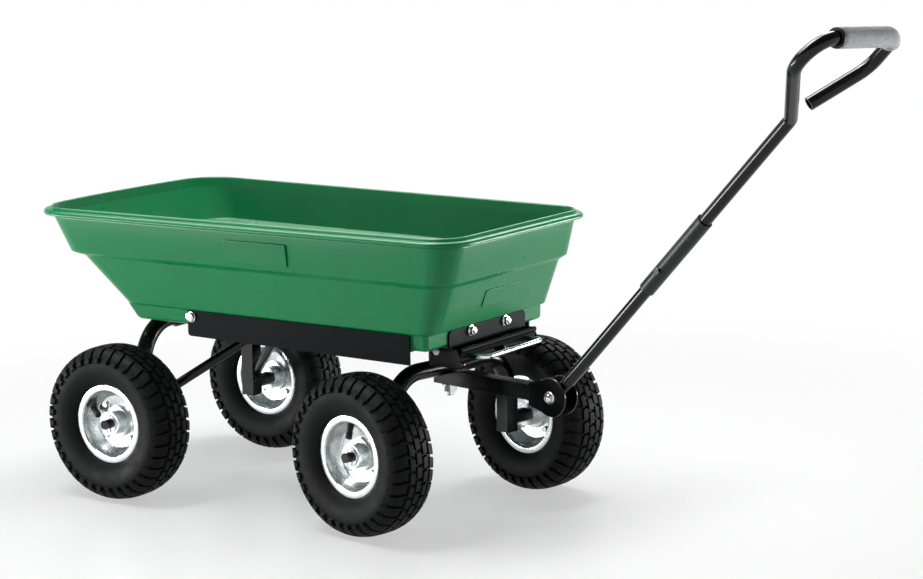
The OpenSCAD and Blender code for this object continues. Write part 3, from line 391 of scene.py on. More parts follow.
def solid_copy(node: str, edge_mm: float = 0.0) -> Mesh:
    """Merged copy of a solid's mesh, with flat faces joined and edges eased.

    Args:
        node: Name of the solid.
        edge_mm: Radius of the eased edges, or zero to leave them.

    Returns:
        The copied mesh.
    """
    bm = bmesh.new()
    bm.from_mesh(frame["nodes"][node].data)
    bmesh.ops.remove_doubles(bm, verts=bm.verts[:], dist=1e-5)
    bmesh.ops.dissolve_limit(bm, angle_limit=math.radians(0.4), verts=bm.verts[:], edges=bm.edges[:])
    if edge_mm > 0.0:
        soften(bm, sharp_edges(bm, 50.0), edge_mm * MM, 2)
    return bm


def eased(node: str, body: str, finish: Finish, edge_mm: float = 0.0) -> Piece:
    """Shows a solid with smooth shading and eased edges.

    Args:
        node: Name of the solid.
        body: Body that carries it.
        finish: Its finish.
        edge_mm: Radius of its eased edges.

    Returns:
        The new object.
    """
    piece = finished(solid_copy(node, edge_mm), "shown_" + node, finish, body, (node,))
    if edge_mm > 0.0:
        weighted = piece.modifiers.new("even_normals", "WEIGHTED_NORMAL")
        weighted.keep_sharp = True
    return piece


def dressed(nodes: tuple[str, ...], body: str, finish: Finish, edge_mm: float = 0.0) -> None:
    """Shows several solids of one body in one finish, as eased does for each."""
    for node in nodes:
        eased(node, body, finish, edge_mm)


def bolted(node: str, body: str, seats: list[Matrix], bore_mm: float = 7.6, width_mm: float = 18.0) -> Piece:
    """Shows a solid's bolts with a washer at each seat.

    Args:
        node: Name of the solid with the bolts.
        body: Body that carries them.
        seats: Place of each washer, with Z along the bolt.
        bore_mm: Width of the washers' holes.
        width_mm: Width of the washers.

    Returns:
        The new object.
    """
    bm = solid_copy(node, 0.5)
    for seat in seats:
        join(bm, washer(bore_mm, width_mm), seat)
    return finished(bm, "shown_" + node, BOLT_ZINC, body, (node,))


@dataclass
class Tub:
    """The moulded tub, grown ring by ring from its floor, over its rim and down inside.

    Attributes are sizes in millimetres, or shares of the depth, overhangs and flare.
    """

    front: float = 597.0
    rear: float = 9.0
    floor_w: float = 338.0
    rear_flare: float = 57.0
    front_flare: float = 33.0
    rear_over: float = 161.0
    front_over: float = 67.0
    depth: float = 186.0
    wall: float = 4.0
    floor_z: float = 298.0
    foot_share: float = 0.14
    foot_corner: float = 9.0
    foot_inset: float = 4.0
    foot_edge: float = 1.2
    floor_corner: float = 22.0
    rear_corner: float = 60.0
    front_corner: float = 50.0
    floor_bow: float = 3.0
    rim_bow: float = 13.0
    corner_steps: int = 12
    bow_steps: int = 24
    side_steps: int = 12
    plate_gap: float = 0.3
    plate_t: float = 3.0
    carriage_d: float = 19.0
    side_plaque: Pair = (122.0, 37.0)
    side_plaque_x: float = 294.0
    side_plaque_share: float = 0.74
    front_plaque: Pair = (100.0, 30.0)
    front_plaque_share: float = 0.37
    plaque_t: float = 3.2
    plaque_corner: float = 3.0
    plaque_edge: float = 0.5
    plaque_margin: float = 0.8
    # Height, rear overhang, front overhang and flare of each fold in the wall.
    levels: tuple[Level, ...] = (
        (0.022, 0.012, 0.0, 0.012), (0.136, 0.118, 0.0, 0.045), (0.152, 0.138, 0.19, 0.19),
        (0.555, 0.686, 0.606, 0.45), (0.596, 0.778, 0.754, 0.75), (0.914, 0.985, 0.978, 0.94))
    # Edge radius outside, extra inset inside and lift inside of each of those folds.
    outer_edges: tuple[float, ...] = (2.0, 2.0, 1.6, 2.5, 2.2, 2.5)
    inner_insets: tuple[float, ...] = (0.0, 0.0, 0.0, 0.0, 0.0, 1.0)
    inner_lifts: tuple[float, ...] = (0.0, 3.0, 3.0, 3.0, 3.0, 0.0)
    inner_edge: float = 2.2
    # Inset, drop and edge radius along the rolled rim, from its underside to its inner bead.
    lip: tuple[Triple, ...] = (
        (5.0, 12.0, 0.0), (-9.0, 14.0, 0.0), (-12.4, 12.6, 0.0), (-13.0, 10.0, 0.0), (-11.6, 7.0, 0.0),
        (-8.4, 5.2, 0.0), (-2.6, 5.4, 0.7), (-1.2, 1.8, 0.0), (0.6, 0.2, 0.0), (2.0, 0.0, 0.0),
        (3.6, 0.6, 0.0), (4.4, 2.4, 0.5))

    def half(self, share: float, flare: float) -> float:
        """Half width at a share of a flare."""
        return self.floor_w / 2 + flare * share

    def corner(self, rim_r: float, height: float, inset: float) -> float:
        """Corner radius at a share of the depth; the foot keeps its own."""
        if height < self.foot_share:
            return self.foot_corner - min(inset, self.foot_inset)
        return self.floor_corner + (rim_r - self.floor_corner) * height - inset

    def arc(self, cx: float, cy: float, r: float, start: float) -> list[Pair]:
        """Quarter-circle points of a corner, counter-clockwise."""
        steps = range(self.corner_steps + 1)
        angles = [math.radians(start + 90.0 * i / self.corner_steps) for i in steps]
        return [(cx + r * math.cos(a), cy + r * math.sin(a)) for a in angles]

    def outline(self, level: Level, inset: float, z: float) -> Points:
        """Rounded outline with a bowed rear edge.

        Args:
            level: Shares of height, rear overhang, front overhang and flare.
            inset: Distance inside the level's outline.
            z: Height of the ring.

        Returns:
            The ring's points in metres.
        """
        height, back, ahead, flare = level
        xr, xf = self.rear - self.rear_over * back + inset, self.front + self.front_over * ahead - inset
        hr, hf = (self.half(flare, width) - inset for width in (self.rear_flare, self.front_flare))
        rr, rf = (self.corner(r, height, inset) for r in (self.rear_corner, self.front_corner))
        bow = self.floor_bow + (self.rim_bow - self.floor_bow) * height
        steps = range(1, self.side_steps)
        ends = ((xf - rf, xr + rr), (hf, hr))
        side = [tuple(a + (b - a) * i / self.side_steps for a, b in ends) for i in steps]
        nose = [(xf, (hf - rf) * (2.0 * i / self.side_steps - 1.0)) for i in steps]
        tail = self.arc(xr + rr, hr - rr, rr, 90.0)
        tail += [(xr, (hr - rr) * (1.0 - 2.0 * i / self.bow_steps)) for i in range(1, self.bow_steps)]
        tail += self.arc(xr + rr, rr - hr, rr, 180.0)
        tail = [(x - bow * max(0.0, 1.0 - (y / hr) ** 2), y) for x, y in tail]
        ring = self.arc(xf - rf, rf - hf, rf, -90.0) + nose + self.arc(xf - rf, hf - rf, rf, 0.0) + side + tail
        ring += [(x, -y) for x, y in reversed(side)]
        return [Vector((x, y, z)) * MM + SHIFT for x, y in ring]

    def rings(self) -> list[tuple[Level, float, float, float]]:
        """Level, inset, height and edge radius of each ring, in millimetres."""
        rim, base, top = (1.0, 1.0, 1.0, 1.0), (0.0, 0.0, 0.0, 0.0), self.floor_z + self.depth
        heights = [self.floor_z + self.depth * level[0] for level in self.levels]
        inner = list(zip(self.levels, heights, self.inner_insets, self.inner_lifts))
        rings = [(base, self.foot_inset, self.floor_z, self.foot_edge)]
        rings += [(level, 0.0, z, r) for level, z, r in zip(self.levels, heights, self.outer_edges)]
        rings += [(rim, inset, top - drop, r) for inset, drop, r in self.lip]
        rings += [(level, self.wall + more, z + lift, self.inner_edge) for level, z, more, lift in reversed(inner)]
        return rings + [(base, self.foot_inset + self.wall, self.floor_z + self.wall, 0.0)]

    def shell(self) -> Piece:
        """Grows the shell and replaces the tub's solid."""
        bm = bmesh.new()
        rings, ring = self.rings(), None
        loops: list[tuple[float, list[Edge]]] = []
        for level, inset, z, radius in rings:
            points = self.outline(level, inset, z)
            ring = first_ring(bm, points) if ring is None else next_ring(bm, ring, points)
            if not loops:
                bm.faces.new(ring)
            loops.append((radius, ring_edges(ring)))
        bm.faces.new(ring)
        for radius in sorted({r for r, _ in loops if r > 0.0}):
            soften(bm, [e for r, edges in loops if r == radius for e in edges if e.is_valid], radius * MM, 3)
        bmesh.ops.recalc_face_normals(bm, faces=bm.faces[:])
        return finished(bm, "tub_shell", TUB_POLY, "tub", ("tub",), 50.0)

    def plaque(self, size: Pair, place: Matrix) -> Mesh:
        """Raised bare panel with eased edges.

        Args:
            size: Width and height in millimetres.
            place: Where the panel's middle goes, facing Y.

        Returns:
            The panel's mesh.
        """
        bm = bmesh.new()
        bmesh.ops.create_cube(bm, size=1.0)
        bmesh.ops.scale(bm, vec=Vector((size[0], self.plaque_t, size[1])) * MM, verts=bm.verts[:])
        through = [e for e in bm.edges if abs((e.verts[0].co - e.verts[1].co).y) > self.plaque_t / 2 * MM]
        soften(bm, through, self.plaque_corner * MM, 3)
        soften(bm, sharp_edges(bm, 60.0), self.plaque_edge * MM, 2)
        broad = sorted(bm.faces, key=lambda f: f.calc_area())[-2:]
        bmesh.ops.inset_individual(bm, faces=broad, thickness=self.plaque_margin * MM)
        bmesh.ops.transform(bm, matrix=place, verts=bm.verts[:])
        return bm

    def plaques(self) -> Piece:
        """The bare panels on both sides and the front."""
        bm = bmesh.new()
        low, high, share = self.levels[4], self.levels[5], self.side_plaque_share
        flare = low[3] + (high[3] - low[3]) * (share - low[0]) / (high[0] - low[0])
        along = (self.side_plaque_x - self.rear) / (self.front - self.rear)
        y = self.half(flare, self.rear_flare * (1.0 - along) + self.front_flare * along)
        spread = (self.rear_flare + self.front_flare) / 2 * (high[3] - low[3])
        lean = math.atan2(spread, self.depth * (high[0] - low[0]))
        length = self.front - self.rear + (self.rear_over + self.front_over) * low[1]
        taper = math.atan2((self.rear_flare - self.front_flare) * low[3], length)
        place = Matrix.Translation(Vector((self.side_plaque_x, y, self.floor_z + self.depth * share)) * MM + SHIFT)
        place = place @ Matrix.Rotation(-taper, 4, "Z") @ Matrix.Rotation(-lean, 4, "X")
        for side in Side:
            join(bm, self.plaque(self.side_plaque, Matrix.Diagonal((1.0, side.value, 1.0, 1.0)) @ place))
        low, high, share = self.levels[2], self.levels[3], self.front_plaque_share
        ahead = low[2] + (high[2] - low[2]) * (share - low[0]) / (high[0] - low[0])
        lean = math.atan2(self.front_over * (high[2] - low[2]), self.depth * (high[0] - low[0]))
        middle = Vector((self.front + self.front_over * ahead, 0.0, self.floor_z + self.depth * share))
        turned = Matrix.Rotation(lean, 4, "Y") @ Matrix.Rotation(math.pi / 2, 4, "Z")
        join(bm, self.plaque(self.front_plaque, Matrix.Translation(middle * MM + SHIFT) @ turned))
        bmesh.ops.recalc_face_normals(bm, faces=bm.faces[:])
        return finished(bm, "tub_plaques", TUB_POLY, "tub", (), 50.0)

    def bolts(self) -> None:
        """Bolts of the rails and of the latch plate, with their washers."""
        low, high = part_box("rail_bolts")
        x, face, z = (low[0] + high[0]) / 2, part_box("rail_left")[1][1], (low[2] + high[2]) / 2
        bolted("rail_bolts", "tub", [
            Matrix.Translation((x, side.value * face, z)) @ Matrix.Rotation(-side.value * math.pi / 2, 4, "X")
            for side in Side])
        low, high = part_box("plate_bolts")
        face = (self.front + self.plate_gap + self.plate_t) * MM + SHIFT.x
        out, z = high[1] - self.carriage_d / 2 * MM, (low[2] + high[2]) / 2
        outward = Matrix.Rotation(math.pi / 2, 4, "Y")
        seats = [Matrix.Translation((face, side.value * out, z)) @ outward for side in Side]
        bolted("plate_bolts", "tub", seats)

    def build(self) -> None:
        """Builds the tub with its rails and fastenings."""
        self.shell()
        self.plaques()
        dressed(("rail_left", "rail_right", "latch_plate"), "tub", SATIN_POWDER, 0.6)
        eased("hinge_straps", "tub", GLOSS_ENAMEL, 0.5)
        eased("strap_bolts", "tub", BOLT_ZINC, 0.4)
        self.bolts()


@dataclass
class Wheel:
    """A pneumatic wheel: lugged tyre, pressed rim halves, hub, bolts and valve, with Z outboard."""

    key: str
    body: str
    side: Side
    valve_turn: float
    diameter: float = 260.0
    width: float = 84.0
    rim_r: float = 66.0
    seat_r: float = 57.0
    well_r: float = 46.0
    rim_half: float = 28.0
    well_z: float = 15.12
    sheet: float = 2.0
    pitches: int = 36
    cells: int = 6
    tread_depth: float = 4.6
    tread_from: float = 0.62
    shoulder: float = 0.9
    shoulder_share: float = 0.75
    block_draft: float = 0.7
    groove_lean: float = 5.0
    bore_r: float = 20.1
    bead_z: float = 25.7
    bead_toe_z: float = 18.0
    flange_gap: float = 0.6
    seat_gap: float = 0.3
    # Edges of the rows of tread blocks, as shares of the half width.
    centre_row: float = 0.13
    inner_row: Pair = (0.2, 0.44)
    outer_row: Pair = (0.51, 0.935)
    lug_end: float = 0.982
    stations: tuple[float, ...] = (0.0, 0.13, 0.2, 0.32, 0.44, 0.51, 0.66, 0.78, 0.88, 0.935, 0.982)
    # Outside and cavity of the tyre, as shares of the half width and of the section's height.
    sidewall: tuple[Pair, ...] = (
        (0.0, 1.0), (0.3, 0.997), (0.56, 0.975), (0.76, 0.93), (0.9, 0.85), (0.975, 0.73),
        (1.0, 0.61), (0.985, 0.48), (0.94, 0.36), (0.86, 0.26), (0.77, 0.185), (0.71, 0.15))
    widest: int = 6
    cavity: tuple[Pair, ...] = ((0.52, 0.09), (0.74, 0.3), (0.8, 0.58), (0.6, 0.8), (0.0, 0.85))
    # Radius and height along the valve, from its root to the top of its cap.
    stem: tuple[Pair, ...] = (
        (0.0, -3.0), (8.0, -3.0), (8.0, 0.0), (5.5, 0.4), (5.1, 12.0), (4.6, 13.0),
        (4.6, 14.5), (5.4, 15.0), (5.4, 25.0), (4.8, 26.0), (0.0, 26.0))

    def place(self) -> Matrix:
        """Turns the wheel's own frame, with Z outboard, into the cart's frame."""
        joint = JOINTS["roll_" + self.key]
        outboard = Vector(joint["axis"]).normalized() * self.side.value
        ahead = Vector((0, 0, -1)).cross(outboard) * self.side.value
        turned = Matrix((ahead, outboard.cross(ahead), outboard)).transposed().to_4x4()
        return Matrix.Translation(Vector(joint["pos_m"])) @ turned

    def height_at(self, y: float) -> float:
        """Share of the section's height at a share of the half width, on the tread side."""
        for (y0, r0), (y1, r1) in zip(self.sidewall, self.sidewall[1:]):
            if y0 <= y <= y1:
                return r0 + (r1 - r0) * (y - y0) / (y1 - y0)
        return self.sidewall[-1][1]

    def section(self) -> list[Pair]:
        """Closed tyre section as radius and height, with the tread sunk to its groove floor."""
        span, half = self.diameter / 2 - self.seat_r, self.width / 2
        sunk = [self.tread_depth * (1.0 if y < self.shoulder else self.shoulder_share) for y in self.stations]
        tread = [(self.seat_r + span * self.height_at(y) - deep, y * half) for y, deep in zip(self.stations, sunk)]
        wall = [(self.seat_r + span * r, y * half) for y, r in self.sidewall[self.widest:]]
        seat = self.seat_r + self.seat_gap
        bead = [(self.rim_r + self.flange_gap, self.bead_z), (seat, self.bead_z), (seat, self.bead_toe_z)]
        hollow = [(self.seat_r + span * r, y * half) for y, r in self.cavity]
        upper = tread + wall + bead + hollow
        return [(r * MM, y * MM) for r, y in upper + [(r, -y) for r, y in reversed(upper[1:-1])]]

    def in_block(self, turn: float, y: float) -> bool:
        """Whether a tread face belongs to a block and not to a groove.

        Args:
            turn: Angle round the tyre as a share of a full turn.
            y: Share of the half width, signed.

        Returns:
            True on a block.
        """
        cell = int(turn * self.pitches * self.cells + 1e-6)
        away = abs(y)
        if away < self.centre_row:
            return cell % self.cells != 0
        if self.inner_row[0] < away < self.inner_row[1]:
            return (cell + self.cells // 2) % self.cells != 0
        lug = (cell + (1 if y > 0 else 4)) % self.cells
        if self.outer_row[0] < away < self.outer_row[1]:
            return lug != 0
        return self.outer_row[1] < away < self.lug_end and 2 <= lug <= self.cells - 2

    def tyre(self) -> Piece:
        """Spins the carcass, raises its tread blocks and leans the cross grooves."""
        bm = revolve(self.section(), self.pitches * self.cells)
        half = self.width / 2 * MM
        floor_r = (self.seat_r + self.tread_from * (self.diameter / 2 - self.seat_r)) * MM
        blocks = []
        for face in bm.faces:
            middle = face.calc_center_median()
            r = math.hypot(middle.x, middle.y)
            if r > floor_r and face.normal.dot(Vector((middle.x, middle.y, middle.z * 2.0))) > 0.0:
                if self.in_block(math.atan2(middle.y, middle.x) / TAU % 1.0, middle.z / half):
                    blocks.append(face)
        bmesh.ops.inset_region(bm, faces=blocks, thickness=self.block_draft * MM, depth=self.tread_depth * MM,
                               use_even_offset=True, use_boundary=True)
        for vert in bm.verts:
            away = abs(vert.co.z) / half
            lean = math.radians(self.groove_lean) * min(away, 1.0 - away)
            vert.co.rotate(Matrix.Rotation(lean, 3, "Z"))
        bmesh.ops.transform(bm, matrix=self.place(), verts=bm.verts[:])
        node = "tyre_" + self.key
        return finished(bm, node + "_tread", TYRE_RUBBER, self.body, (node,), 34.0)

    def rim(self, outer: bool) -> Piece:
        """Pressed half rim with a rolled flange.

        Args:
            outer: True for the outboard half.

        Returns:
            The half rim.
        """
        t, half, well, seat, low = self.sheet, self.rim_half, self.well_r, self.seat_r, self.well_z
        section = [
            (self.bore_r, 0.0), (well, 0.0), (well + t, t), (seat - t, low), (seat, low + t), (seat, half - t),
            (self.rim_r, half - t), (self.rim_r, half), (seat, half), (seat - t, half - t), (seat - t, low + 2 * t),
            (seat - 2 * t, low), (well, 2 * t), (well - t, t), (self.bore_r, t)]
        bm = revolve([(r * MM, z * MM) for r, z in section], 96, 0.7 * MM)
        flip = Matrix.Identity(4) if outer else Matrix.Diagonal((1.0, 1.0, -1.0, 1.0))
        bmesh.ops.transform(bm, matrix=self.place() @ flip, verts=bm.verts[:])
        bmesh.ops.recalc_face_normals(bm, faces=bm.faces[:])
        node = ("rim_outer_" if outer else "rim_inner_") + self.key
        return finished(bm, node + "_pressing", RIM_ZINC, self.body, (node,), 32.0)

    def valve(self) -> Piece:
        """Rubber valve stem with its knurled cap."""
        slope = math.atan2(self.well_z - self.sheet, self.seat_r - self.well_r - 2 * self.sheet)
        bm = revolve([(r * MM, z * MM) for r, z in self.stem], 28, closed=False)
        at = Matrix.Translation(Vector(((self.well_r + self.seat_r) / 2, 0.0, (self.well_z + self.sheet) / 2)) * MM)
        lean = Matrix.Rotation(math.radians(self.valve_turn), 4, "Z") @ at @ Matrix.Rotation(-slope, 4, "Y")
        bmesh.ops.transform(bm, matrix=self.place() @ lean, verts=bm.verts[:])
        node = "valve_" + self.key
        return finished(bm, node + "_stem", PLAIN_RUBBER, self.body, (node,))

    def build(self) -> None:
        """Builds the wheel's pieces."""
        self.tyre()
        self.rim(True)
        self.rim(False)
        self.valve()
        eased("hub_" + self.key, self.body, RIM_ZINC, 0.5)
        eased("rim_bolts_" + self.key, self.body, BOLT_ZINC, 0.4)


@dataclass
class Chassis:
    """The painted frame under the tub, with its rear axle and cross channel."""

    tubes: tuple[str, ...] = ("rear_arch", "rear_braces", "rear_stubs", "latch_pin")
    plates: tuple[str, ...] = ("rear_posts", "spine", "cross_channel", "table_upper")
    fittings: tuple[str, ...] = ("rear_retainers", "channel_bolts", "kingpin", "kingpin_nut")

    def build(self) -> None:
        """Dresses the chassis."""
        dressed(self.tubes, "chassis", GLOSS_ENAMEL)
        dressed(self.plates, "chassis", GLOSS_ENAMEL, 0.9)
        dressed(self.fittings, "chassis", BOLT_ZINC, 0.3)
        eased("latch_spring", "chassis", CHROME)


@dataclass
class FrontAxle:
    """The steered axle with its drawbar and clevis."""

    tubes: tuple[str, ...] = ("front_arch", "front_stubs")
    plates: tuple[str, ...] = ("front_posts", "drawbar", "clevis", "table_lower")
    clevis_half: float = 15.5
    pivot_d: float = 12.0
    nut_across: float = 16.0
    nut_h: float = 10.0
    washer_over: float = 4.0
    washer_t: float = 1.8

    def pivot_bolt(self) -> Piece:
        """Clevis bolt with a domed nut on a washer at each cheek."""
        joint = JOINTS["handle_pivot"]
        aim = Vector(joint["axis"]).normalized().to_track_quat("Z", "Y").to_matrix().to_4x4()
        r, half = self.pivot_d / 2 * MM, self.clevis_half * MM
        bm = revolve([(0.0, -half), (r, -half), (r, half), (0.0, half)], 32, closed=False)
        for turn in (Matrix.Identity(4), Matrix.Rotation(math.pi, 4, "X")):
            seat = turn @ Matrix.Translation((0, 0, half))
            join(bm, washer(self.pivot_d, self.nut_across + self.washer_over, self.washer_t), seat)
            join(bm, dome_nut(self.nut_across * MM, self.nut_h * MM), seat)
        bmesh.ops.transform(bm, matrix=Matrix.Translation(Vector(joint["pos_m"])) @ aim, verts=bm.verts[:])
        return finished(bm, "pivot_bolt", BOLT_ZINC, "front_axle", ("clevis_bolt",))

    def build(self) -> None:
        """Dresses the front axle."""
        dressed(self.tubes, "front_axle", GLOSS_ENAMEL)
        dressed(self.plates, "front_axle", GLOSS_ENAMEL, 0.9)
        eased("front_retainers", "front_axle", BOLT_ZINC, 0.4)
        self.pivot_bolt()


@dataclass
class Handle:
    """The pull handle: shaft, sleeve, open loop and foam grip; X runs along the shaft and Y to the left."""

    rise: float = 45.9
    steer: float = 10.5
    shaft: float = 646.0
    loop_rise: float = 239.0
    loop_bar: float = 249.0
    near_r: float = 40.0
    far_r: float = 27.0
    tube_d: float = 20.0
    grip_d: float = 30.0
    grip_lead: float = 2.0
    grip_fit: float = 0.15
    grip_sides: int = 40
    grip_steps: int = 14
    bend_steps: int = 18
    end_round: float = 2.6
    ring_t: float = 3.0
    ring_inset: float = 0.3
    ring_lap: float = 0.6
    ring_edge: float = 0.8
    rise_way: Pair = (0.752192, -0.658944)
    bar_way: Pair = (-0.07584, 0.99712)
    grip_end_way: Pair = (-0.8432, 0.5376)

    def place(self) -> Matrix:
        """Turns the handle's own frame into the cart's frame."""
        turn = Matrix.Rotation(-math.radians(self.steer), 4, "Z") @ Matrix.Rotation(-math.radians(self.rise), 4, "Y")
        return Matrix.Translation(Vector(JOINTS["handle_pivot"]["pos_m"])) @ turn

    def turn(self, a: Pair, b: Pair) -> float:
        """Angle from one heading to the next, to the left."""
        return math.atan2(a[0] * b[1] - a[1] * b[0], a[0] * b[0] + a[1] * b[1])

    def grip(self) -> Piece:
        """Foam sleeve along the bar and round the far corner, with rounded ends."""
        bar, rise = Vector(self.bar_way), Vector(self.rise_way)
        near = Vector((self.shaft, 0.0)) + rise * self.loop_rise
        near_trim = self.near_r * math.tan(abs(self.turn(self.rise_way, self.bar_way)) / 2)
        bend = self.turn(self.bar_way, self.grip_end_way)
        far_trim = self.far_r * math.tan(self.turn(self.bar_way, (-1.0, 0.0)) / 2)
        start = near + bar * (near_trim + self.grip_lead)
        run = self.loop_bar - near_trim - far_trim - self.grip_lead
        outer, inner, soft = self.grip_d / 2, self.tube_d / 2 + self.grip_fit, self.end_round
        across, above = Vector((bar.y, -bar.x, 0.0)), Vector((0, 0, 1))
        angles = [TAU * i / self.grip_sides for i in range(self.grip_sides)]

        def ring(r: float, along: float) -> Points:
            """Ring of the sleeve at a distance along the bar."""
            middle = Vector((start.x, start.y, 0.0)) + Vector((bar.x, bar.y, 0.0)) * along
            return [(middle + across * (r * math.cos(a)) + above * (r * math.sin(a))) * MM for a in angles]

        bm = bmesh.new()
        verts = first_ring(bm, ring(inner, 1.0))
        for r, along in ((inner, 0.2), (inner + 1.0, 0.0), (outer - 2.5, 0.0), (outer - 0.8, 0.8), (outer, soft)):
            verts = next_ring(bm, verts, ring(r, along))
        for i in range(1, self.grip_steps + 1):
            verts = next_ring(bm, verts, ring(outer, soft + (run - soft) * i / self.grip_steps))
        end = start + bar * run
        centre = end + Vector((-bar.y, bar.x)) * self.far_r
        spun = bmesh.ops.spin(bm, geom=verts + ring_edges(verts), cent=Vector((centre.x, centre.y, 0.0)) * MM,
                              axis=(0, 0, 1), angle=bend, steps=self.bend_steps)["geom_last"]
        last = [v for v in spun if isinstance(v, Vert)]
        middle = sum((v.co for v in last), Vector()) / len(last)
        edges = [e for e in spun if isinstance(e, Edge)]
        for r, step in ((outer - 0.8, 1.4), (outer - 2.5, 0.6), (inner, 0.0)):
            made = bmesh.ops.extrude_edge_only(bm, edges=edges)["geom"]
            fresh = [v for v in made if isinstance(v, Vert)]
            edges = [e for e in made if isinstance(e, Edge) and all(v in fresh for v in e.verts)]
            for vert in fresh:
                vert.co = middle + (vert.co - middle).normalized() * r * MM
            bmesh.ops.translate(bm, verts=fresh, vec=Vector((*self.grip_end_way, 0.0)) * step * MM)
            middle = sum((v.co for v in fresh), Vector()) / len(fresh)
        bmesh.ops.recalc_face_normals(bm, faces=bm.faces[:])
        bmesh.ops.transform(bm, matrix=self.place(), verts=bm.verts[:])
        piece = finished(bm, "foam_grip", GRIP_FOAM, "handle", ("grip",), 60.0)
        self.painted_shade_ring(Vector((start.x, start.y, 0.0)), Vector((bar.x, bar.y, 0.0)))
        return piece

    def painted_shade_ring(self, start: Vector, bar: Vector) -> Piece:
        """Black ring that closes the sleeve's near end and paints the shade on the foam's end face, in the handle's
        frame in millimetres.
        """
        bore, outer = (self.tube_d / 2 + self.grip_fit) * MM, (self.grip_d / 2 - self.ring_inset) * MM
        low, high = -self.ring_t * MM, self.ring_lap * MM
        # Painted shade: the ring is black where the foam's end face lies in shade.
        bm = revolve([(bore, low), (outer, low), (outer, high), (bore, high)], self.grip_sides, self.ring_edge * MM)
        aim = bar.to_track_quat("Z", "Y").to_matrix().to_4x4()
        bmesh.ops.transform(bm, matrix=self.place() @ Matrix.Translation(start * MM) @ aim, verts=bm.verts[:])
        return finished(bm, "grip_painted_shade_ring", PLAIN_RUBBER, "handle", ())

    def build(self) -> None:
        """Dresses the handle."""
        dressed(("handle_lower", "handle_loop"), "handle", GLOSS_ENAMEL)
        eased("handle_sleeve", "handle", SLEEVE_POWDER)
        eased("sleeve_bolt", "handle", SLEEVE_POWDER, 0.4)
        self.grip()


@dataclass
class Latch:
    """The hooked lever and its chrome bail."""

    lever: str = "latch_lever"
    bail: str = "latch_bail"

    def build(self) -> None:
        """Dresses the latch."""
        eased(self.lever, "latch", SATIN_POWDER, 0.3)
        eased(self.bail, "latch", CHROME)


@dataclass(frozen=True)
class Lamp:
    """A soft box.

    Attributes:
        name: Lamp name.
        at: Place in metres.
        aim: Point that it faces.
        size: Width and height in metres.
        watts: Power.
        sheen_only: Shows in reflections and lights nothing else.
    """

    name: str
    at: Triple
    aim: Triple
    size: Pair
    watts: float
    sheen_only: bool = False

    def build(self) -> None:
        """Hangs the soft box."""
        data = bpy.data.lights.new(self.name, "AREA")
        data.shape = "RECTANGLE"
        data.size, data.size_y = self.size
        data.energy = self.watts
        lamp = bpy.data.objects.new(self.name, data)
        lamp.location = self.at
        lamp.visible_diffuse = not self.sheen_only
        lamp.rotation_euler = (Vector(self.aim) - Vector(self.at)).to_track_quat("-Z", "Y").to_euler()
        bpy.context.scene.collection.objects.link(lamp)


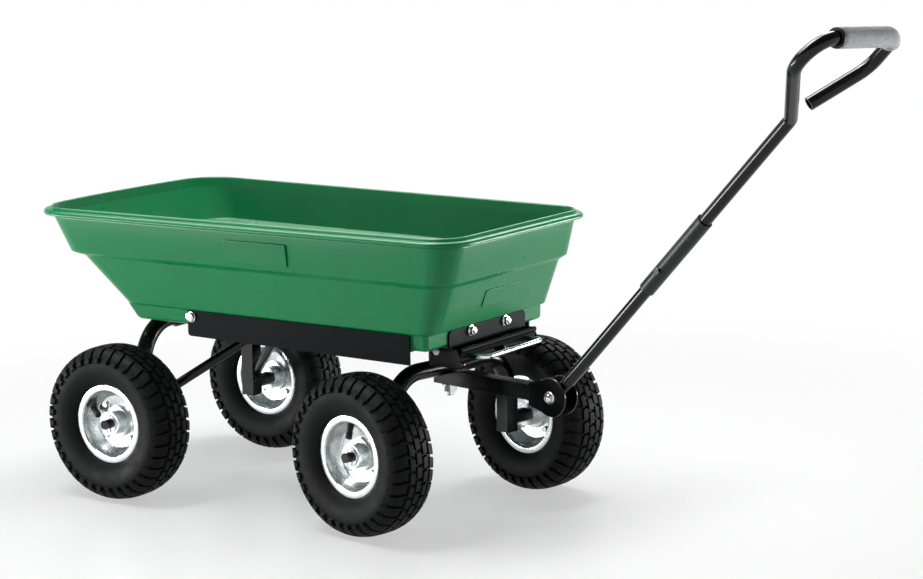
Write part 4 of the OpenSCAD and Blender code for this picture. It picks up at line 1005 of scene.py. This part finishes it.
@dataclass
class Studio:
    """Pale floor, white surround, soft lamps and the camera at the photograph's place."""

    azimuth: float = 33.776
    elevation: float = 9.957
    roll: float = -0.751
    distance: float = 4.27216
    target: Triple = (0.50177, 0.07208, 0.35274)
    focal_px: float = 2602.8
    width_px: float = 923.0
    floor_r: float = 30.0
    floor_drop: float = 0.0004
    floor_fade: Pair = (0.7, 1.9)
    floor_glow: float = 0.47
    sky_light: float = 0.7
    ceiling: float = 0.14
    dusk: Pair = (0.08, 0.36)
    lamps: tuple[Lamp, ...] = (
        Lamp("top_box", (-0.45, 0.1, 2.3), (-0.2, 0.0, 0.4), (2.8, 0.7), 62.0),
        Lamp("side_sheen", (-1.5, -0.1, 2.7), (-0.3, 0.0, 0.4), (2.4, 1.8), 110.0, sheen_only=True),
        Lamp("corner_sheen", (-0.6, 0.0, 2.8), (-0.5, 0.0, 0.4), (1.2, 1.2), 48.0, sheen_only=True),
        Lamp("front_sheen", (-0.95, 3.1, 2.5), (0.1, 0.0, 0.45), (1.0, 1.2), 42.0, sheen_only=True),
        Lamp("front_box", (2.0, 2.3, 0.23), (0.1, 0.0, 0.3), (1.6, 0.4), 88.0),
        Lamp("near_box", (-2.6, -1.9, 0.23), (-0.1, -0.2, 0.3), (2.0, 0.4), 80.0))

    def camera(self) -> None:
        """Places the camera."""
        az, el, roll = (math.radians(v) for v in (self.azimuth, self.elevation, self.roll))
        back = Vector((math.sin(az) * math.cos(el), -math.cos(az) * math.cos(el), math.sin(el)))
        right = (-back).cross(Vector((0, 0, 1))).normalized()
        up = right.cross(-back)
        across = right * math.cos(roll) + up * math.sin(roll)
        above = up * math.cos(roll) - right * math.sin(roll)
        data = bpy.data.cameras.new("photo_view")
        data.sensor_width = 36.0
        data.lens = self.focal_px / self.width_px * data.sensor_width
        data.clip_end = 100.0
        camera = bpy.data.objects.new("photo_view", data)
        stand = Matrix.Translation(Vector(self.target) + SHIFT + back * self.distance)
        camera.matrix_world = stand @ Matrix((across, above, back)).transposed().to_4x4()
        bpy.context.scene.collection.objects.link(camera)
        bpy.context.scene.camera = camera

    def seen(self, tree: Tree) -> Socket:
        """One for rays that the eye, a mirror or glass sends out, and zero for light."""
        rays = add_node(tree, "ShaderNodeLightPath").outputs
        either = {0: rays["Is Camera Ray"], 1: rays["Is Glossy Ray"]}
        either = add_node(tree, "ShaderNodeMath", either, operation="MAXIMUM").outputs[0]
        any_ray = {0: either, 1: rays["Is Transmission Ray"]}
        return add_node(tree, "ShaderNodeMath", any_ray, operation="MAXIMUM").outputs[0]

    def floor(self) -> None:
        """Pale floor that keeps the shadow and fades to white away from the cart."""
        bm = bmesh.new()
        bmesh.ops.create_circle(bm, cap_ends=True, segments=96, radius=self.floor_r)
        bmesh.ops.translate(bm, verts=bm.verts[:], vec=(0, 0, -self.floor_drop))
        mesh = bpy.data.meshes.new("studio_floor")
        bm.to_mesh(mesh)
        bm.free()
        material = bpy.data.materials.new("pale_floor")
        material.use_nodes = True
        tree = material.node_tree
        tree.nodes.clear()
        place = add_node(tree, "ShaderNodeTexCoord").outputs["Object"]
        away = add_node(tree, "ShaderNodeVectorMath", {0: place}, operation="LENGTH").outputs["Value"]
        fade = add_node(tree, "ShaderNodeMapRange", {
            "Value": away, "From Min": self.floor_fade[0], "From Max": self.floor_fade[1],
            "To Min": self.floor_glow, "To Max": 1.0}, interpolation_type="SMOOTHSTEP")
        share = {0: fade.outputs["Result"], 1: self.seen(tree)}
        share = add_node(tree, "ShaderNodeMath", share, operation="MULTIPLY").outputs[0]
        pale = add_node(tree, "ShaderNodeBsdfPrincipled", {
            "Base Color": linear("#f7f7f7"), "Roughness": 0.3, "Specular IOR Level": 0.2})
        white = add_node(tree, "ShaderNodeEmission", {"Color": linear("#ffffff"), "Strength": 1.0})
        mixed = add_node(tree, "ShaderNodeMixShader", {
            0: share, 1: pale.outputs["BSDF"], 2: white.outputs["Emission"]})
        add_node(tree, "ShaderNodeOutputMaterial", {"Surface": mixed.outputs["Shader"]})
        mesh.materials.append(material)
        floor = bpy.data.objects.new("studio_floor", mesh)
        bpy.context.scene.collection.objects.link(floor)

    def world(self) -> None:
        """White surround that dims to the ceiling, for the eye, for reflections and for soft light."""
        world = bpy.data.worlds.new("studio")
        bpy.context.scene.world = world
        world.use_nodes = True
        tree = world.node_tree
        tree.nodes.clear()
        way = add_node(tree, "ShaderNodeTexCoord").outputs["Generated"]
        up = add_node(tree, "ShaderNodeSeparateXYZ", {"Vector": way}).outputs["Z"]
        dusk = add_node(tree, "ShaderNodeMapRange", {
            "Value": up, "From Min": self.dusk[0], "From Max": self.dusk[1],
            "To Min": 1.0, "To Max": self.ceiling}, interpolation_type="SMOOTHSTEP")
        share = add_node(tree, "ShaderNodeMapRange", {
            "Value": self.seen(tree), "To Min": self.sky_light, "To Max": 1.0})
        strength = {0: dusk.outputs["Result"], 1: share.outputs["Result"]}
        strength = add_node(tree, "ShaderNodeMath", strength, operation="MULTIPLY").outputs[0]
        sky = add_node(tree, "ShaderNodeBackground", {"Color": linear("#ffffff"), "Strength": strength})
        add_node(tree, "ShaderNodeOutputWorld", {"Surface": sky.outputs["Background"]})

    def build(self) -> None:
        """Builds the studio."""
        self.camera()
        self.floor()
        self.world()
        for lamp in self.lamps:
            lamp.build()
        bpy.context.scene.view_settings.view_transform = "Standard"


def main() -> None:
    """Builds every piece in order."""
    logging.basicConfig(level=logging.INFO, format="%(name)s %(message)s")
    Studio().build()
    Tub().build()
    for key, body, side, turn in (
        ("rl", "wheel_rear_left", Side.LEFT, 40.0), ("rr", "wheel_rear_right", Side.RIGHT, 158.0),
        ("fl", "wheel_front_left", Side.LEFT, 220.0), ("fr", "wheel_front_right", Side.RIGHT, 106.0)):
        Wheel(key, body, side, turn).build()
    Chassis().build()
    FrontAxle().build()
    Handle().build()
    Latch().build()


if __name__ == "__main__":
    main()
